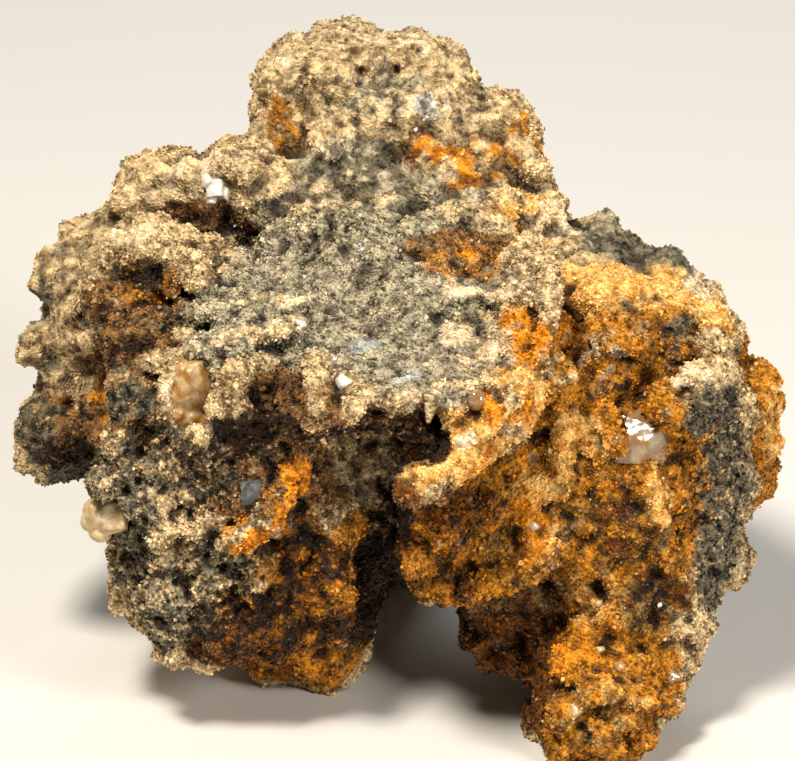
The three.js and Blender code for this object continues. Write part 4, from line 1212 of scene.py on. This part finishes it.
# freshly cleaved: much light goes through, it is warm inside, and one flat face mirrors the lamp
clear_calcite = calcite("clear_cleaved_calcite", "#C48E4E", "#E8D6B8", 0.6, 0.14, "#F0D2A4", 150)
# stained by iron and worn: honey brown, cloudy, with a soft gloss
honey_calcite = calcite("honey_calcite", "#B27428", "#F2DAA6", 0.35, 0.3, "#E0A858", 60)
# full of tiny bubbles: white, and light goes only skin deep
white_calcite = calcite("milky_white_calcite", "#CFC6B6", "#F4F0EA", 0.2, 0.3, "#F2EEE6", 30)
# worn, with clay in it: dull cream clouds over a tan body
grey_calcite = calcite("cloudy_grey_calcite", "#B4945E", "#F4E2BA", 0.2, 0.4, "#D8CCB4", 60)
# half clear and a little stained: beige, with a soft gloss
beige_calcite = calcite("beige_calcite", "#A87C46", "#DFC59A", 0.4, 0.28, "#D9B078", 60)
# a rounded bit of slate: dark blue grey and matt, and no light goes in
slate = calcite("slate_grain", "#33363A", "#74777A", 0.0, 0.65, "#888888", 60)

# %% [markdown]
# ## The five crystals that the solid carries
# They are the clear block in the right mass, the honey mass at the brow, the dome in the finger's tip, the
# white cluster on the ridge and the cloudy cluster at the left edge. Each is set on the skin where a ray
# from the front meets it, or at its own place in the solid.

# %% The clear block, with one face that mirrors the key lamp
LAMP_FACE = (-0.16, -0.73, 0.67)


def seated(place, rise=0.0):
    """A place on the skin, raised towards the front by rise millimetres."""
    return on_skin(place) + TO_CAMERA * rise


right = seated((39.2, -31, 56.4), 2.0)
grown("calcite_right_cleaved", [
    block(right, (9.6, 9.0, 12.0), (0.1, -0.1, 0.1), [
        (LAMP_FACE, 2.6), ((0.1, -0.3, 0.95), 3.3), ((-0.33, -0.81, 0.1), 2.9), ((0.93, -0.35, 0.1), 4.1),
        ((-0.93, -0.35, 0.1), 4.1), ((-0.1, -0.45, -0.9), 4.6), ((0.6, -0.75, -0.2), 3.3)]),
    block(right + Vector((0.8, 0.2, -3.4)), (5.0, 5.0, 4.4), (0.2, 0.5, 0.9), [
        ((-0.3, -0.9, 0.2), 2.0), ((0.3, -0.8, -0.5), 2.0)])],
    clear_calcite, "calcite_right")

# %% The honey mass, with small knobs round its foot, its left side and its top
brow = seated((-33.2, -37, 66.8), 1.0)
mass = [
    ball(brow + Vector((0.2, 0, 0.4)), (3.6, 2.6, 4.9), (0.1, 0.16, 0)),
    block(brow + Vector((-0.4, 0, 1.4)), (6.6, 5.6, 8.4), (0.12, 0.2, 0.3), [
        ((-0.5, -0.8, 0.3), 2.6), ((0.6, -0.75, 0.2), 2.5), ((-0.3, -0.3, 0.9), 3.9),
        ((0.1, -0.8, -0.55), 3.0)])]
bumps = random.Random(7)
foot_knobs = [
    ball(brow + Vector((bumps.uniform(-3.4, 3.2), -1.4, bumps.uniform(-4.6, -1.6))),
         [bumps.uniform(0.7, 1.5)] * 3) for _ in range(12)]
side_knobs = [
    ball(brow + Vector((bumps.uniform(-3.0, -2.2), -1.0, bumps.uniform(-1.0, 4.6))),
         [bumps.uniform(0.6, 1.1)] * 3) for _ in range(6)]
top_knobs = [
    ball(brow + Vector((-1.8, 0.2, 5.0)), (1.5, 1.4, 1.6)),
    ball(brow + Vector((0.6, 0.2, 4.8)), (1.1, 1.2, 1.2))]
grown("calcite_brow_honey", mass + foot_knobs + side_knobs + top_knobs,
      honey_calcite, "calcite_brow")

# %% The dome in the finger's tip, the white cluster and the cloudy cluster
grown("calcite_fingertip_dome", [
    ball((2.8, -46.6, 56.4), (2.7, 2.6, 3.2), (0, 0.5, 0)), ball((5.0, -46.8, 57.6), (2.0, 2.0, 2.4))],
    beige_calcite, "calcite_fingertip")
ridge = seated((-30, -0.4, 87.2), -0.2)
grown("calcite_ridge_cluster", [
    block(ridge, (2.8, 2.6, 3.0), (0.5, 0.3, 0.3), [(LAMP_FACE, 1.1)]),
    block(ridge + Vector((-1.8, 0, 1.5)), (1.8, 1.8, 1.8), (0.2, 0.8, 0.3), [((0.3, -0.8, 0.5), 0.8)]),
    block(ridge + Vector((1.4, 0, -0.9)), (1.6, 1.6, 2.0), (0.9, 0.1, 0.6), [((-0.4, -0.7, 0.5), 0.7)]),
    block(ridge + Vector((-0.9, -0.4, -1.8)), (1.5, 1.4, 1.5), (0.3, 0.5, 0.9), [])],
    white_calcite, "calcite_ridge", 0.2)
grown("calcite_left_cluster", [
    ball((-46.4, -31.4, 42.2), (2.8, 2.4, 3.2), (0.2, 0.4, 0)),
    ball((-49.4, -29.8, 42.4), (2.0, 2.0, 2.2)), ball((-50.2, -29.0, 40.2), (1.6, 1.8, 1.8)),
    ball((-48.4, -30.4, 38.8), (2.0, 1.9, 1.6)),
    block((-46.0, -32.2, 42.6), (3.8, 3.2, 4.4), (0.5, 0.2, 0.2), [
        ((0.2, -0.9, 0.4), 1.5), ((-0.7, -0.6, 0.4), 1.7)]),
    block((-49.0, -30.4, 41.6), (2.8, 2.4, 2.8), (0.2, 0.9, 0.3), [((-0.5, -0.8, 0.2), 1.1)])],
    grey_calcite, "calcite_left")

# %% [markdown]
# ## Single grains
# A few grains stand out from the crust by size or colour: a hanging tooth and a clear bead under the
# plateau's edge, a dark round grain on the left foot, and white and amber ones elsewhere.

# %% Small cut blocks
def chips(places, rise=0.1):
    """Small cut blocks seated on the skin, each place with its size."""
    made = []
    for place, size in places:
        turn = (0.5 + size, 0.4 * size, 0.3 * size)
        cuts = [((0.3, -0.8, 0.5), 0.34 * size), ((-0.7, -0.6, 0.1), 0.36 * size),
                ((0.5, -0.6, -0.6), 0.4 * size)]
        made.append(block(seated(place, rise), (size, size * 0.8, size * 1.1), turn, cuts))
    return made


# %% The tooth, the beads and the grains
only(rock)
tooth_place = seated((5.2, -39.8, 65.6), 1.2)
bpy.ops.mesh.primitive_cone_add(vertices=5, radius1=2.2 * MM, radius2=0.3 * MM, depth=5.0 * MM,
                                location=tooth_place * MM, rotation=(3.0, 0.25, 0.5))
grown("brow_tooth", [bpy.context.object], rock.data.materials[0], cell=0.2)
bead = ball(seated((12.5, -37.5, 66.2), 0.4), (1.8, 1.6, 1.9))
grown("clear_grains", [bead, *chips((((45.2, -34, 13.6), 2.4), ((-19.6, -36, 42.6), 1.8)), 0.0)],
      clear_calcite)
grown("white_grains", chips((
    ((-8.7, -37.5, 69), 2.2), ((-15.8, -23.4, 72.6), 1.8), ((43, -33, 26.6), 1.0), ((-27, -1, 81), 1.0),
    ((3, 13, 92), 0.9)), 0.3), white_calcite, cell=0.2)
grown("dark_round_grain", [block(seated((-23.4, -36.5, 49.1), 0.3), (3.4, 2.4, 3.7), (0.2, 0.2, 0.1), [
    ((-0.7, -0.4, 0.6), 1.6), ((0.7, -0.4, 0.6), 1.6), ((0.6, -0.5, -0.7), 1.6), ((0, -1, 0.1), 0.9)])],
    slate)
grown("amber_grains", chips((
    ((29, -42, 12), 2.3), ((35, -42, 14), 1.8), ((22, -37, 43), 1.8), ((7, -36, 40), 1.6),
    ((33, -31, 26), 1.4), ((36, -38, 18), 1.8), ((33, -36, 20), 1.6))), honey_calcite)
